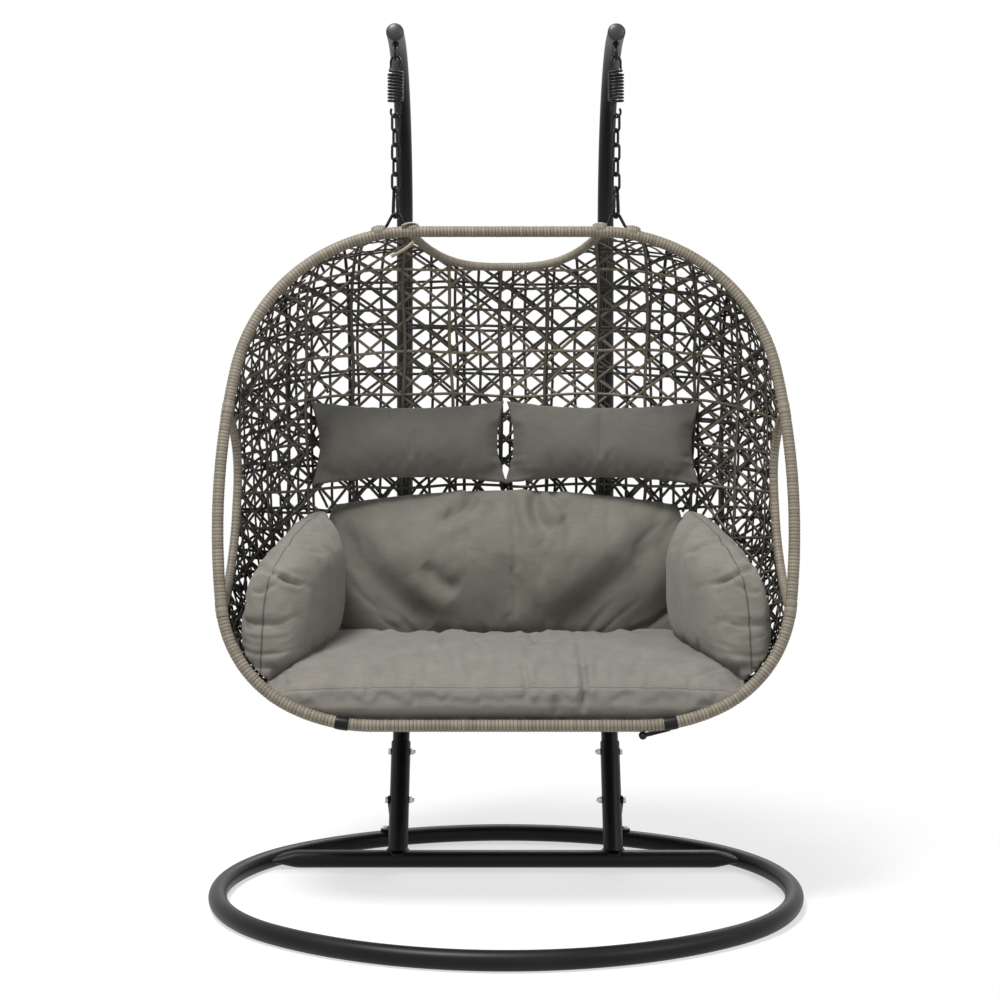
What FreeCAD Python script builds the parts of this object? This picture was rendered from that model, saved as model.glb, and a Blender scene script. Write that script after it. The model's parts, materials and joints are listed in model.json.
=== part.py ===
import FreeCAD, Part
import math
import os

# Two-seat hanging egg chair: a C-post stand, two spring-and-chain hangers, a woven basket and its cushions.
# Millimetres. +X is to the right as seen from the front, +Y points back, +Z is up.
# The origin is on the floor under the middle of the whole chair.

V = FreeCAD.Vector

# Stand: oval base ring, cross bar, sleeves, braces and posts
RING_Y = -40.0
RING_HALF_WIDTH = 625.0
RING_HALF_DEPTH = 500.0
RING_END_R = 430.0
RING_TUBE = 40.0
RING_FLAT = 0.6
RING_STEP = 18.0
BAR_Y = 210.0
BAR_TUBE = 40.0
BAR_FLAT_LENGTH = 70.0
BAR_FLAT_HEIGHT = 16.0
BAR_FLAT_WIDTH = 52.0
POST_X = 250.0
POST_TUBE = 40.0
POST_WALL = 2.0
POST_LEAN = 32.0
POST_LOWER_R = 1180.0
POST_UPRIGHT = 606.058
POST_UPPER_R = 419.839
POST_UPPER_TURN = 86.0
POST_TIP_RUN = 54.0
TUBE_SIDES = 12
BORE_SIDES = 8
POST_PLUG_DEPTH = 200.0
SLEEVE_TUBE = 46.0
SLEEVE_LENGTH = 284.0
SLEEVE_CLEARANCE = 0.5
SLEEVE_BOLTS_AT = (141.0, 260.0)
CAP_DOME = 9.0
CAP_PLUG = 14.0
BRACE_WIDTH = 20.0
BRACE_THICKNESS = 4.0
BRACE_TAB = 24.0

# Fasteners
BOLT_D = 8.0
BOLT_HOLE_GAP = 0.2
BOLT_SIDES = 8
HEX_ACROSS_FLATS = 13.0
HEAD_HEIGHT = 5.3
NUT_HEIGHT = 6.5
THIN_NUT_HEIGHT = 5.0
CAP_NUT_DOME_R = 5.6
DOME_SIDES = 10

# Hangers: eye bolt, spring, chain, carabiner
EYE_ROD = 8.0
EYE_MEAN_R = 13.0
EYE_REACH = 43.2
WIRE_GAP = 0.3
SPRING_WIRE = 5.5
SPRING_MEAN_R = 16.0
SPRING_PITCH = 7.4
SPRING_TURNS = 9
SPRING_STEPS = 10
SPRING_SIDES = 5
HOOK_R = 13.0
HOOK_RISE = 14.0
HOOK_LEG = 9.0
HOOK_TURN_PLAN = 122.0
HOOK_END_TURN = 36.0
HOOK_STEP = 36.0
LINK_WIRE = 6.0
LINK_INNER_LENGTH = 33.6
LINK_OUTER_WIDTH = 24.0
LINK_COUNT = 5
LINK_STEPS = 5
LINK_SIDES = 6
LINK_TURN_PLAN = -34.0
CARABINER_ROD = 8.0
CARABINER_LENGTH = 76.0
CARABINER_TOP_R = 9.0
CARABINER_BOTTOM_R = 14.0
CARABINER_TOP_STEPS = 5
CARABINER_BOTTOM_STEPS = 7
CARABINER_TURN_PLAN = 65.0
GATE_MARGIN = 5.0
GATE_TONGUE = 3.0
GATE_TONGUE_LENGTH = 7.0
GATE_SLOT = 8.0
GATE_PIN = 2.5
GATE_PIN_PLAY = 0.05
GATE_PLAY = 0.4
GATE_NOSE_R = 3.1
ROD_SIDES = 8

# Basket: hoop, rims, ribs, staples, weave
HOOP_TUBE = 25.5
HOOP_LEAN = 16.6
HOOP_TOP_HALF = 210.0
HOOP_ARCS = ((396.0, 80.0), (1690.0, 18.0), (278.0, 56.0), (400.0, 26.0))
HOOP_STEP = 9.0
HOOP_RUN = 125.0
HOOP_SIDES = 12
STAPLE_ROD = 7.0
STAPLE_HEIGHT = 40.3
STAPLE_BEND_R = 11.0
STAPLE_STEPS = 5
STAPLE_LEG_SPREAD = 19.0
STAPLE_FOOT_R = 6.0
STAPLE_FOOT = 26.0
BACK_Y = 430.0
WEAVE_WALL = 5.0
SIDE_POWER = 2.4
TOP_POWER = 2.6
SEAT_POWER = 4.0
WEAVE_REACH = 0.9956
WEAVE_POINTS = 32
BOWL_AHEAD = 60.0
WEAVE_DEPTHS = (0.0, 0.35, 0.65, 0.86, 1.0)
GRID_LOW_Z = 585.0
GRID_PITCH = 119.0
GRID_ROWS = 6
GRID_BAR = 30.0
RIM_TUBE = 20.0
RIM_SIDES = 10
SEAT_GAP = 0.3
SCOOP_HALF = 192.0
SCOOP_BACK_Y = 302.0
SCOOP_CORNER_R = 75.0
ARM_TOP_Z = 1052.0
ARM_BOTTOM_Z = 645.0
ARM_DEPTH = 165.0
RIB_ROD = 8.0
RIB_SIDES = 5
RIB_SLACK = 2.2
RIB_CLEAR = 1.6
RIB_END_GAP = 0.3
RIB_X = (100.0, 237.0, 374.0, 511.0)
COLLAR_X = 345.0
COLLAR_LENGTH = 28.0
COLLAR_WALL = 1.4
COLLAR_GAP = 0.1
EAR_LENGTH = 58.0
EAR_HEIGHT = 13.0
EAR_DROP = 1.0
EAR_THICKNESS = 3.0

# Cushions
CUSHION_GAP = 0.5
ARC_POINTS = 6
ROWS_BETWEEN = 2
SEAT_SECTIONS = ((-184.0, 500.0, 452.0, 462.0), (-160.0, 527.0, 476.0, 496.0), (-20.0, 492.0, 502.0, 540.0),
                 (140.0, 448.0, 520.0, 556.0), (285.0, 408.0, 532.0, 545.0))
BACK_SECTIONS = ((548.0, 400.0, 330.0, 305.0), (600.0, 425.0, 330.0, 270.0), (720.0, 440.0, 335.0, 262.0),
                 (830.0, 425.0, 345.0, 285.0), (872.0, 400.0, 355.0, 330.0))
SEAT_DEPTH = 95.0
BACK_DEPTH = 108.0
BOLSTER_SECTIONS = ((-128.0, 0.80), (-95.0, 0.97), (40.0, 1.0), (180.0, 0.93), (245.0, 0.78))
BOLSTER_CENTRE = (508.0, 655.0)
BOLSTER_HALF_WIDTH = 112.0
BOLSTER_HALF_HEIGHT = 192.0
BOLSTER_LEAN = 22.0
# The bolster's outline, end and bulge in turn: shares of its lean, half width and half height.
BOLSTER_OUTLINE = ((1, 0, -1), (0.5, -0.62, -0.68), (0, -1, -0.1), (0, -0.78, 0.64), (-0.5, 0, 1), (0, 0.70, 0.68),
                   (0, 1, 0), (0.5, 0.78, -0.6))
PILLOW_WIDTH = 455.0
PILLOW_HEIGHT = 200.0
PILLOW_THICKNESS = 105.0
PILLOW_CENTRE_X = 231.0
PILLOW_CENTRE_Z = 976.0
PILLOW_CENTRE_Y = 331.2
PILLOW_LEAN = 12.0
PILLOW_TURN = 9.0
PILLOW_DRAW = 0.08
PILLOW_EDGE = 0.16


def unit(vector):
    """The vector at length 1."""
    return V(vector).normalize()


def mirrored(shape):
    """The shape on the other side of the chair's middle plane."""
    return shape.mirror(V(0, 0, 0), V(1, 0, 0))


def turned(shape, angle, x, y):
    """The shape turned about an upright line at x, y."""
    copy = shape.copy()
    copy.rotate(V(x, y, 0), V(0, 0, 1), angle)
    return copy


def polygon_face(corners):
    """A flat face with straight edges."""
    return Part.Face(Part.makePolygon(list(corners) + [corners[0]]))


def solid_of(faces):
    """The closed solid that the faces bound."""
    shell = Part.Shell(faces)
    shell.sewShape()
    solid = Part.Solid(shell)
    if solid.Volume < 0:
        solid.reverse()
    return solid


def skinned(rings):
    """The solid through rings of as many points each, with flat ends."""
    faces = [polygon_face(rings[0]), polygon_face(rings[-1])]
    for ring, after in zip(rings, rings[1:]):
        for i in range(len(ring)):
            j = (i + 1) % len(ring)
            faces.append(polygon_face([ring[i], ring[j], after[j]]))
            faces.append(polygon_face([ring[i], after[j], after[i]]))
    return solid_of(faces)


def arc_points(centre, radius, across, up, start, end, steps):
    """Points on an arc, each angle in degrees from across towards up."""
    points = []
    for i in range(steps + 1):
        angle = math.radians(start + (end - start) * i / steps)
        points.append(centre + across * (radius * math.cos(angle)) + up * (radius * math.sin(angle)))
    return points


def bent_rod(points, diameter, sides, aside, closed=False):
    """A rod of flat facets along points, mitred where it turns; one of its edges faces aside."""
    count = len(points)
    spans = [unit(points[(i + 1) % count] - points[i]) for i in range(count if closed else count - 1)]
    normals = [unit(spans[i - 1] + spans[i]) if i or closed else spans[0] for i in range(len(spans))]
    if not closed:
        normals.append(spans[-1])
    across = unit(aside - spans[0] * aside.dot(spans[0]))
    up = spans[0].cross(across)

    def slid(corner, way, i):
        return corner + way * ((points[i] - corner).dot(normals[i]) / way.dot(normals[i]))

    first = arc_points(points[0], diameter / 2, across, up, 0, 360, sides)[:-1]
    rings = [[slid(corner, spans[0], 0) for corner in first]]
    for i in range(1, count):
        rings.append([slid(corner, spans[i - 1], i) for corner in rings[-1]])
    faces = []
    for ring, after in zip(rings, rings[1:] + rings[:1] if closed else rings[1:]):
        for k in range(sides):
            m = (k + 1) % sides
            faces.append(polygon_face([ring[k], ring[m], after[m], after[k]]))
    if not closed:
        faces += [polygon_face(rings[0]), polygon_face(rings[-1])]
    return solid_of(faces)


def prism(start, axis, radius, height, sides, aside=None):
    """A straight bar of flat facets from start along axis; one of its edges faces aside."""
    axis = unit(axis)
    aside = aside or (V(0, 0, 1) if abs(axis.z) < 0.9 else V(0, 1, 0))
    across = unit(aside - axis * aside.dot(axis))
    corners = arc_points(start, radius, across, axis.cross(across), 0, 360, sides)[:-1]
    return polygon_face(corners).extrude(axis * height)


def turned_up(start, axis, profile, sides, aside):
    """A turned body of flat facets along axis; profile lists (radius, height) pairs."""
    axis = unit(axis)
    across = unit(aside - axis * aside.dot(axis))
    faces = []
    rings = []
    for radius, height in profile:
        centre = start + axis * height
        rings.append(arc_points(centre, radius, across, axis.cross(across), 0, 360, sides)[:-1])
    for ring, after in zip(rings, rings[1:]):
        for i in range(sides):
            j = (i + 1) % sides
            faces.append(polygon_face([ring[i], ring[j], after[j], after[i]]))
    return solid_of(faces + [polygon_face(rings[0]), polygon_face(rings[-1])])


def hexagon(centre, axis, height):
    """A hexagonal prism that starts at centre and runs along axis."""
    return prism(centre, axis, HEX_ACROSS_FLATS / 2 / math.cos(math.pi / 6), height, 6)


def bolt_bar(start, axis, length, extra=0.0):
    """A bolt's shank, or with extra radius the hole that it passes."""
    return prism(start, axis, BOLT_D / 2 + extra, length, BOLT_SIDES)


def hex_bolt(head_seat, axis, length):
    """A bolt whose head seats at head_seat; the shank runs along axis."""
    axis = unit(axis)
    return hexagon(head_seat - axis * HEAD_HEIGHT, axis, HEAD_HEIGHT).fuse(bolt_bar(head_seat, axis, length))


def cap_nut(seat, axis):
    """A domed nut that seats at seat; the dome points along axis."""
    profile = []
    for degrees in (0, 40, 75):
        angle = math.radians(degrees)
        profile.append((CAP_NUT_DOME_R * math.cos(angle), NUT_HEIGHT + CAP_NUT_DOME_R * math.sin(angle)))
    dome = turned_up(seat, axis, profile, DOME_SIDES, V(0, 0, 1))
    return hexagon(seat, axis, NUT_HEIGHT).fuse(dome).cut(bolt_bar(seat, axis, NUT_HEIGHT))


# Post centreline

LEAN = math.radians(POST_LEAN)
POST_FOOT = V(POST_X, BAR_Y, BAR_TUBE / 2)
POST_AXIS = V(0, math.sin(LEAN), math.cos(LEAN))


def post_stations():
    """The straight foot's end, the upright's two ends, and the centres of the lower and upper bends."""
    bend_start = POST_FOOT + POST_AXIS * SLEEVE_LENGTH
    lower_centre = bend_start - V(0, math.cos(LEAN), -math.sin(LEAN)) * POST_LOWER_R
    upright_start = lower_centre + V(0, POST_LOWER_R, 0)
    upright_end = upright_start + V(0, 0, POST_UPRIGHT)
    return bend_start, upright_start, upright_end, lower_centre, upright_end - V(0, POST_UPPER_R, 0)


def post_end():
    """Where the upper bend ends, the outward normal there and the way that the straight tip points."""
    angle = math.radians(POST_UPPER_TURN)
    normal = V(0, math.cos(angle), math.sin(angle))
    return post_stations()[4] + normal * POST_UPPER_R, normal, V(0, -normal.z, normal.y)


def post_tip():
    """The post's open end and the way that it points."""
    point, _, heading = post_end()
    return point + heading * POST_TIP_RUN, heading


def eye_geometry():
    """Where the eye bolt crosses the post, the way that it points, and the eye's centre."""
    point, normal, heading = post_end()
    crossing = point + heading * (POST_TIP_RUN / 2)
    return crossing, normal * -1, crossing - normal * EYE_REACH


EYE_CENTRE = eye_geometry()[2]
HANG_Y = EYE_CENTRE.y
HOOK_CROWN_Z = EYE_CENTRE.z - EYE_MEAN_R + (EYE_ROD + SPRING_WIRE) / 2 + WIRE_GAP
HOOK_HEIGHT = HOOK_RISE + HOOK_LEG + HOOK_R * math.cos(math.radians(HOOK_STEP / 2))
HOOK_LOW_Z = HOOK_CROWN_Z - SPRING_TURNS * SPRING_PITCH - 2 * HOOK_HEIGHT
LINK_STEP = LINK_INNER_LENGTH - WIRE_GAP
LINK_TOP_Z = HOOK_LOW_Z + (SPRING_WIRE + LINK_WIRE) / 2 + WIRE_GAP
LAST_LINK_LOW_Z = LINK_TOP_Z - (LINK_COUNT - 1) * LINK_STEP - LINK_INNER_LENGTH - LINK_WIRE
CARABINER_TOP_Z = LAST_LINK_LOW_Z + (LINK_WIRE + CARABINER_ROD) / 2 + WIRE_GAP
CARABINER_LOW_Z = CARABINER_TOP_Z - CARABINER_LENGTH + CARABINER_ROD
STAPLE_APEX_Z = CARABINER_LOW_Z + (CARABINER_ROD + STAPLE_ROD) / 2 + WIRE_GAP
HOOP_TOP_Z = STAPLE_APEX_Z - STAPLE_HEIGHT


# Stand

def ring_arcs():
    """The end arc's centre x, the side radius, its centre's offset, and the angle where the arcs meet."""
    end_x = RING_HALF_WIDTH - RING_END_R
    side_r = (end_x ** 2 + RING_HALF_DEPTH ** 2 - RING_END_R ** 2) / (2 * (RING_HALF_DEPTH - RING_END_R))
    offset = side_r - RING_HALF_DEPTH
    return end_x, side_r, offset, math.degrees(math.atan2(offset, end_x))


def ring_points():
    """The base ring's centreline: an oval of four tangent arcs."""
    end_x, side_r, offset, meet = ring_arcs()
    across, up = V(1, 0, 0), V(0, 1, 0)
    middle = V(0, RING_Y, RING_TUBE / 2 - RING_FLAT)
    end_steps = 2 * round(2 * meet / RING_STEP)
    side_steps = 2 * round((180 - 2 * meet) / RING_STEP)
    points = arc_points(middle + across * end_x, RING_END_R, across, up, -meet, meet, end_steps)[:-1]
    points += arc_points(middle - up * offset, side_r, across, up, meet, 180 - meet, side_steps)[:-1]
    centre = middle - across * end_x
    points += arc_points(centre, RING_END_R, across, up, 180 - meet, 180 + meet, end_steps)[:-1]
    points += arc_points(middle + up * offset, side_r, across, up, 180 + meet, 360 - meet, side_steps)[:-1]
    return points


def base_ring():
    """The oval ring, flattened a little where it stands."""
    ring = bent_rod(ring_points(), RING_TUBE, TUBE_SIDES, V(0, 0, 1), True)
    size = 2 * (RING_HALF_WIDTH + RING_TUBE)
    below = Part.makeBox(size, size, RING_TUBE, V(-size / 2, RING_Y - size / 2, -RING_TUBE))
    return ring.cut(below)


def ring_x_at(y):
    """Half the ring's width, on its centreline, at y in its end arcs."""
    return ring_arcs()[0] + math.sqrt(RING_END_R ** 2 - (y - RING_Y) ** 2)


def cross_bar():
    """The straight tube across the ring, its ends pressed flat and notched onto the ring."""
    reach = ring_x_at(BAR_Y)
    half = BAR_TUBE / 2
    stations = [(reach, BAR_FLAT_WIDTH / 2, BAR_FLAT_HEIGHT / 2),
                (reach - BAR_FLAT_LENGTH / 2, (half + BAR_FLAT_WIDTH / 2) / 2,
                 (half + BAR_FLAT_HEIGHT / 2) / 2),
                (reach - BAR_FLAT_LENGTH, half, half)]
    sections = []
    for x, half_width, half_height in stations + [(-x, w, h) for x, w, h in reversed(stations)]:
        corners = []
        for k in range(TUBE_SIDES + 1):
            angle = 2 * math.pi * k / TUBE_SIDES
            corners.append(V(x, BAR_Y + half_width * math.cos(angle),
                             POST_FOOT.z + half_height * math.sin(angle)))
        sections.append(Part.makePolygon(corners))
    bar = Part.makeLoft(sections, True, True)
    return bar.cut(bent_rod(ring_points(), RING_TUBE, TUBE_SIDES, V(0, 0, 1), True))


def sleeve_holes(width):
    """Bars across the right sleeve where its bolts pass."""
    tools = []
    for distance in SLEEVE_BOLTS_AT:
        centre = POST_FOOT + POST_AXIS * distance
        tools.append(bolt_bar(centre - V(width / 2, 0, 0), V(1, 0, 0), width, BOLT_HOLE_GAP))
    return tools


def sleeve():
    """The socket tube, saddle-cut onto the cross bar."""
    aside = V(1, 0, 0)
    body = prism(POST_FOOT, POST_AXIS, SLEEVE_TUBE / 2, SLEEVE_LENGTH, TUBE_SIDES, aside)
    bore = prism(POST_FOOT, POST_AXIS, POST_TUBE / 2 + SLEEVE_CLEARANCE, SLEEVE_LENGTH, TUBE_SIDES, aside)
    start = POST_FOOT - V(SLEEVE_TUBE, 0, 0)
    bar = prism(start, aside, BAR_TUBE / 2, 2 * SLEEVE_TUBE, TUBE_SIDES, V(0, 1, 0))
    size = 4 * SLEEVE_TUBE
    below = Part.makeBox(size, size, size, POST_FOOT - V(size / 2, size / 2, size))
    return body.cut([bore, bar, below] + sleeve_holes(size))


def post_points():
    """The post's centreline: leaning foot, lower bend, upright, upper bend and straight tip."""
    back, up = V(0, 1, 0), V(0, 0, 1)
    _, _, _, lower_centre, upper_centre = post_stations()
    points = [POST_FOOT + POST_AXIS * (SLEEVE_LENGTH - POST_PLUG_DEPTH)]
    points += arc_points(lower_centre, POST_LOWER_R, back, up, -POST_LEAN, 0, 5)
    points += arc_points(upper_centre, POST_UPPER_R, back, up, 0, POST_UPPER_TURN, 10)
    return points + [post_tip()[0]]


def post():
    """The bent hollow post, with its bolt holes."""
    body = bent_rod(post_points(), POST_TUBE, TUBE_SIDES, V(1, 0, 0))
    bore = bent_rod(post_points(), POST_TUBE - 2 * POST_WALL, BORE_SIDES, V(1, 0, 0))
    crossing, down, _ = eye_geometry()
    eye_hole = prism(crossing - down * POST_TUBE, down, EYE_ROD / 2 + BOLT_HOLE_GAP, 2 * POST_TUBE, ROD_SIDES)
    return body.cut([bore, eye_hole] + sleeve_holes(2 * SLEEVE_TUBE))


def post_cap():
    """The domed plug in the post's end."""
    tip, heading = post_tip()
    rim_r = POST_TUBE / 2
    profile = []
    for degrees in (0, 15, 45, 75):
        angle = math.radians(degrees)
        profile.append((rim_r * math.cos(angle), CAP_DOME * math.sin(angle)))
    dome = turned_up(tip, heading, profile, TUBE_SIDES, V(1, 0, 0))
    plug_r = rim_r - POST_WALL - BOLT_HOLE_GAP
    return dome.fuse(prism(tip - heading * CAP_PLUG, heading, plug_r, CAP_PLUG, BORE_SIDES, V(1, 0, 0)))


def brace():
    """The flat strut from the sleeve's lower bolt back to the ring, with a folded tab on the ring."""
    inner_x = POST_X + SLEEVE_TUBE / 2
    top_z = RING_TUBE - RING_FLAT
    bolt = POST_FOOT + POST_AXIS * SLEEVE_BOLTS_AT[0]
    upper = V(inner_x, bolt.y, bolt.z)
    lower = V(inner_x, brace_foot().y, top_z + BRACE_WIDTH / 2)
    side = unit(lower - upper).cross(V(1, 0, 0)) * (BRACE_WIDTH / 2)
    thickness = V(BRACE_THICKNESS, 0, 0)
    strip = polygon_face([upper + side, lower + side, lower - side, upper - side]).extrude(thickness)
    ends = [prism(end, V(1, 0, 0), BRACE_WIDTH / 2, BRACE_THICKNESS, TUBE_SIDES, side)
            for end in (upper, lower)]
    tab = Part.makeBox(BRACE_TAB + BRACE_THICKNESS, BRACE_WIDTH, BRACE_THICKNESS,
                       V(inner_x, lower.y - BRACE_WIDTH / 2, top_z))
    hole = bolt_bar(brace_foot() - V(0, 0, RING_TUBE / 2), V(0, 0, 1), RING_TUBE, BOLT_HOLE_GAP)
    return strip.fuse(ends + [tab]).cut(sleeve_holes(4 * SLEEVE_TUBE) + [hole])


def brace_foot():
    """Where the brace's bolt enters the top of the ring."""
    _, side_r, offset, _ = ring_arcs()
    x = POST_X + SLEEVE_TUBE / 2 + BRACE_THICKNESS + BRACE_TAB / 2
    return V(x, RING_Y - offset + math.sqrt(side_r ** 2 - x ** 2), RING_TUBE - RING_FLAT)


def brace_bolt():
    """The bolt that holds the brace's tab on the ring."""
    return hex_bolt(brace_foot() + V(0, 0, BRACE_THICKNESS), V(0, 0, -1), BRACE_THICKNESS)


def sleeve_bolts():
    """The two cross bolts through the right sleeve and post, heads outward."""
    reach = SLEEVE_TUBE / 2
    bolts = []
    for i, distance in enumerate(SLEEVE_BOLTS_AT):
        outer = reach + (BRACE_THICKNESS if i == 0 else 0)
        seat = POST_FOOT + POST_AXIS * distance + V(outer, 0, 0)
        bolts.append(hex_bolt(seat, V(-1, 0, 0), outer + reach + NUT_HEIGHT))
    return Part.makeCompound(bolts)


def sleeve_nuts():
    """The domed nuts on the inner ends of the cross bolts."""
    seats = [POST_FOOT + POST_AXIS * distance - V(SLEEVE_TUBE / 2, 0, 0) for distance in SLEEVE_BOLTS_AT]
    return Part.makeCompound([cap_nut(seat, V(-1, 0, 0)) for seat in seats])


# Hangers

def eye_bolt():
    """The eye bolt through the post: its shank and a ring whose hole faces sideways."""
    crossing, down, centre = eye_geometry()
    steps = 2 * ROD_SIDES
    half = 180 / steps
    corner_r = EYE_MEAN_R / math.cos(math.radians(half))
    circle = arc_points(centre, corner_r, V(0, 0, -1), V(0, 1, 0), half, 360 + half, steps)[:-1]
    ring = bent_rod(circle, EYE_ROD, ROD_SIDES, circle[0] - centre, True)
    start = crossing - down * (POST_TUBE / 2 + NUT_HEIGHT)
    length = (centre - start).Length - EYE_MEAN_R - EYE_ROD / 4
    return prism(start, down, EYE_ROD / 2, length, ROD_SIDES).fuse(ring)


def eye_nuts():
    """The thin nuts that clamp the eye bolt to the post's top and underside."""
    crossing, down, _ = eye_geometry()
    nuts = []
    for way in (1, -1):
        seat = crossing + down * (way * POST_TUBE / 2)
        bore = prism(seat, down * way, EYE_ROD / 2, THIN_NUT_HEIGHT, ROD_SIDES)
        nuts.append(hexagon(seat, down * way, THIN_NUT_HEIGHT).cut(bore))
    return Part.makeCompound(nuts)


def helix_point(angle):
    """A point on the coil and its heading; the coil's middle is at the origin."""
    climb = SPRING_PITCH / (2 * math.pi)
    point = V(SPRING_MEAN_R * math.cos(angle), SPRING_MEAN_R * math.sin(angle), climb * angle)
    return point, unit(V(-SPRING_MEAN_R * math.sin(angle), SPRING_MEAN_R * math.cos(angle), climb))


def eased(start, heading, end, end_heading, steps):
    """Points on a smooth curve from one place and heading to another, without its two ends."""
    reach = (end - start).Length * 1.1
    points = []
    for i in range(1, steps):
        s = i / steps
        a, b = 2 * s ** 3 - 3 * s ** 2 + 1, s ** 3 - 2 * s ** 2 + s
        c, d = 3 * s ** 2 - 2 * s ** 3, s ** 3 - s ** 2
        points.append(start * a + heading * (reach * b) + end * c + end_heading * (reach * d))
    return points


def spring_points():
    """The spring's one wire: lower hook, coil, upper hook; the coil's middle is at the origin."""
    half = SPRING_TURNS * math.pi
    steps = SPRING_TURNS * SPRING_STEPS
    coil = [helix_point(-half + 2 * half * i / steps)[0] for i in range(steps + 1)]
    end, heading = helix_point(half)
    up = V(0, 0, 1)
    side = V(math.cos(half + math.pi / 2), math.sin(half + math.pi / 2), 0)
    leg = side * HOOK_R + V(0, 0, end.z + HOOK_RISE)
    bow = V(0, 0, leg.z + HOOK_LEG)
    upper = eased(end, heading, leg, up, 4)
    upper.append(leg)
    turn = 180 + HOOK_END_TURN
    upper += arc_points(bow, HOOK_R, side, up, 0, turn, round(turn / HOOK_STEP))
    lower = [V(point.x, -point.y, -point.z) for point in reversed(upper)]
    return lower + coil + upper


def least_gap(points, wire, apart):
    """The least gap between stretches of a wire that are at least apart points from each other."""
    gaps = [(points[i] - points[j]).Length for i in range(len(points)) for j in range(i + apart, len(points))]
    return min(gaps) - wire


def spring():
    """The extension spring, one unbroken wire from hook to hook."""
    points = spring_points()
    print("spring's least gap to itself", round(least_gap(points, SPRING_WIRE, SPRING_STEPS // 2), 2), "mm")
    body = turned(bent_rod(points, SPRING_WIRE, SPRING_SIDES, V(1, 0, 0)), HOOK_TURN_PLAN, 0, 0)
    body.translate(V(POST_X, HANG_Y, (HOOK_CROWN_Z + HOOK_LOW_Z) / 2))
    return body


def link(number):
    """One oval chain link, the first on the spring's lower hook."""
    across, up = V(1, 0, 0), V(0, 0, 1)
    bend = (LINK_OUTER_WIDTH - LINK_WIRE) / 2
    crown = bend * math.cos(math.radians(90 / LINK_STEPS))
    top = V(0, 0, LINK_TOP_Z - (number - 1) * LINK_STEP - crown)
    low = top - up * (LINK_INNER_LENGTH + LINK_WIRE - 2 * crown)
    points = arc_points(top, bend, across, up, 0, 180, LINK_STEPS)
    points += arc_points(low, bend, across, up, 180, 360, LINK_STEPS)
    wire = bent_rod(points, LINK_WIRE, LINK_SIDES, across, True)
    body = turned(wire, LINK_TURN_PLAN + 90 * (number - 1), 0, 0)
    body.translate(V(POST_X, HANG_Y, 0))
    return body


def carabiner_frame():
    """The carabiner in its plane: bow centres, taper, the gate's two ends, the way down it and outwards."""
    top_crown = CARABINER_TOP_R * math.cos(math.radians(90 / CARABINER_TOP_STEPS))
    low_crown = CARABINER_BOTTOM_R * math.cos(math.radians(90 / CARABINER_BOTTOM_STEPS))
    top = V(0, 0, CARABINER_TOP_Z - top_crown)
    low = V(0, 0, CARABINER_LOW_Z + low_crown)
    taper = math.asin((CARABINER_BOTTOM_R - CARABINER_TOP_R) / (top.z - low.z))
    outward = V(-math.cos(taper), 0, math.sin(taper))
    upper = top + outward * CARABINER_TOP_R
    lower = low + outward * CARABINER_BOTTOM_R
    along = unit(lower - upper)
    first, last = upper + along * GATE_MARGIN, lower - along * GATE_MARGIN
    return top, low, math.degrees(taper), first, last, along, outward


def slab(start, along, outward, length, depth, thickness):
    """A block of the given length from start, centred on the gate's line in its two other directions."""
    corner = start - outward * (depth / 2) - V(0, thickness / 2, 0)
    far = corner + outward * depth
    corners = [corner, far, far + along * length, corner + along * length]
    return polygon_face(corners).extrude(V(0, thickness, 0))


def gate_pin_place():
    """The gate pin's middle, in the carabiner's own plane."""
    _, _, _, upper, _, along, _ = carabiner_frame()
    return upper + along * (GATE_TONGUE_LENGTH / 2)


def across_gate(radius):
    """A bar on the gate pin's line, through the whole rod."""
    half = V(0, CARABINER_ROD / 2, 0)
    return prism(gate_pin_place() - half, V(0, 1, 0), radius, CARABINER_ROD, BOLT_SIDES)


def hung(body):
    """The carabiner or a piece of it, turned about the upright and hung at its place."""
    body = turned(body, CARABINER_TURN_PLAN, 0, 0)
    body.translate(V(POST_X, HANG_Y, 0))
    return body


def carabiner():
    """The pear-shaped hook: spine, two bows and the tongues that the gate closes on."""
    top, low, taper, upper, lower, along, outward = carabiner_frame()
    across, up = V(1, 0, 0), V(0, 0, 1)
    points = [upper]
    points += arc_points(top, CARABINER_TOP_R, across, up, 180 - taper, taper, CARABINER_TOP_STEPS)
    points += arc_points(low, CARABINER_BOTTOM_R, across, up, taper, -180 - taper, CARABINER_BOTTOM_STEPS)
    points.append(lower)
    body = bent_rod(points, CARABINER_ROD, ROD_SIDES, across)
    tongue_depth = 0.7 * CARABINER_ROD
    for end, way in ((upper, along), (lower, along * -1)):
        body = body.fuse(slab(end - way, way, outward, GATE_TONGUE_LENGTH, tongue_depth, GATE_TONGUE))
    return hung(body.cut(across_gate(GATE_PIN / 2 + GATE_PLAY / 4)))


def carabiner_gate():
    """The gate: a bar slotted over both tongues, with a rounded nose at its pin."""
    _, _, _, upper, lower, along, outward = carabiner_frame()
    start = upper + along * GATE_PLAY
    end = lower - along * GATE_PLAY
    body = bent_rod([start, end], CARABINER_ROD, ROD_SIDES, outward)
    for tip, way in ((start, along), (end, along * -1)):
        slot = slab(tip - way, way, outward, GATE_SLOT + 1, 2 * CARABINER_ROD, GATE_TONGUE + 2 * GATE_PLAY)
        body = body.cut(slot)
    reach = 1 + (gate_pin_place() - start).Length
    nose = slab(start - along, along, outward, reach, 2 * CARABINER_ROD, 2 * CARABINER_ROD)
    bore = (GATE_PIN / 2 + GATE_PIN_PLAY) / math.cos(math.pi / BOLT_SIDES)
    return hung(body.cut(nose.cut(across_gate(GATE_NOSE_R))).cut(across_gate(bore)))


def gate_pin():
    """The pin that the gate turns on."""
    return hung(across_gate(GATE_PIN / 2))


# Basket

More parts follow.
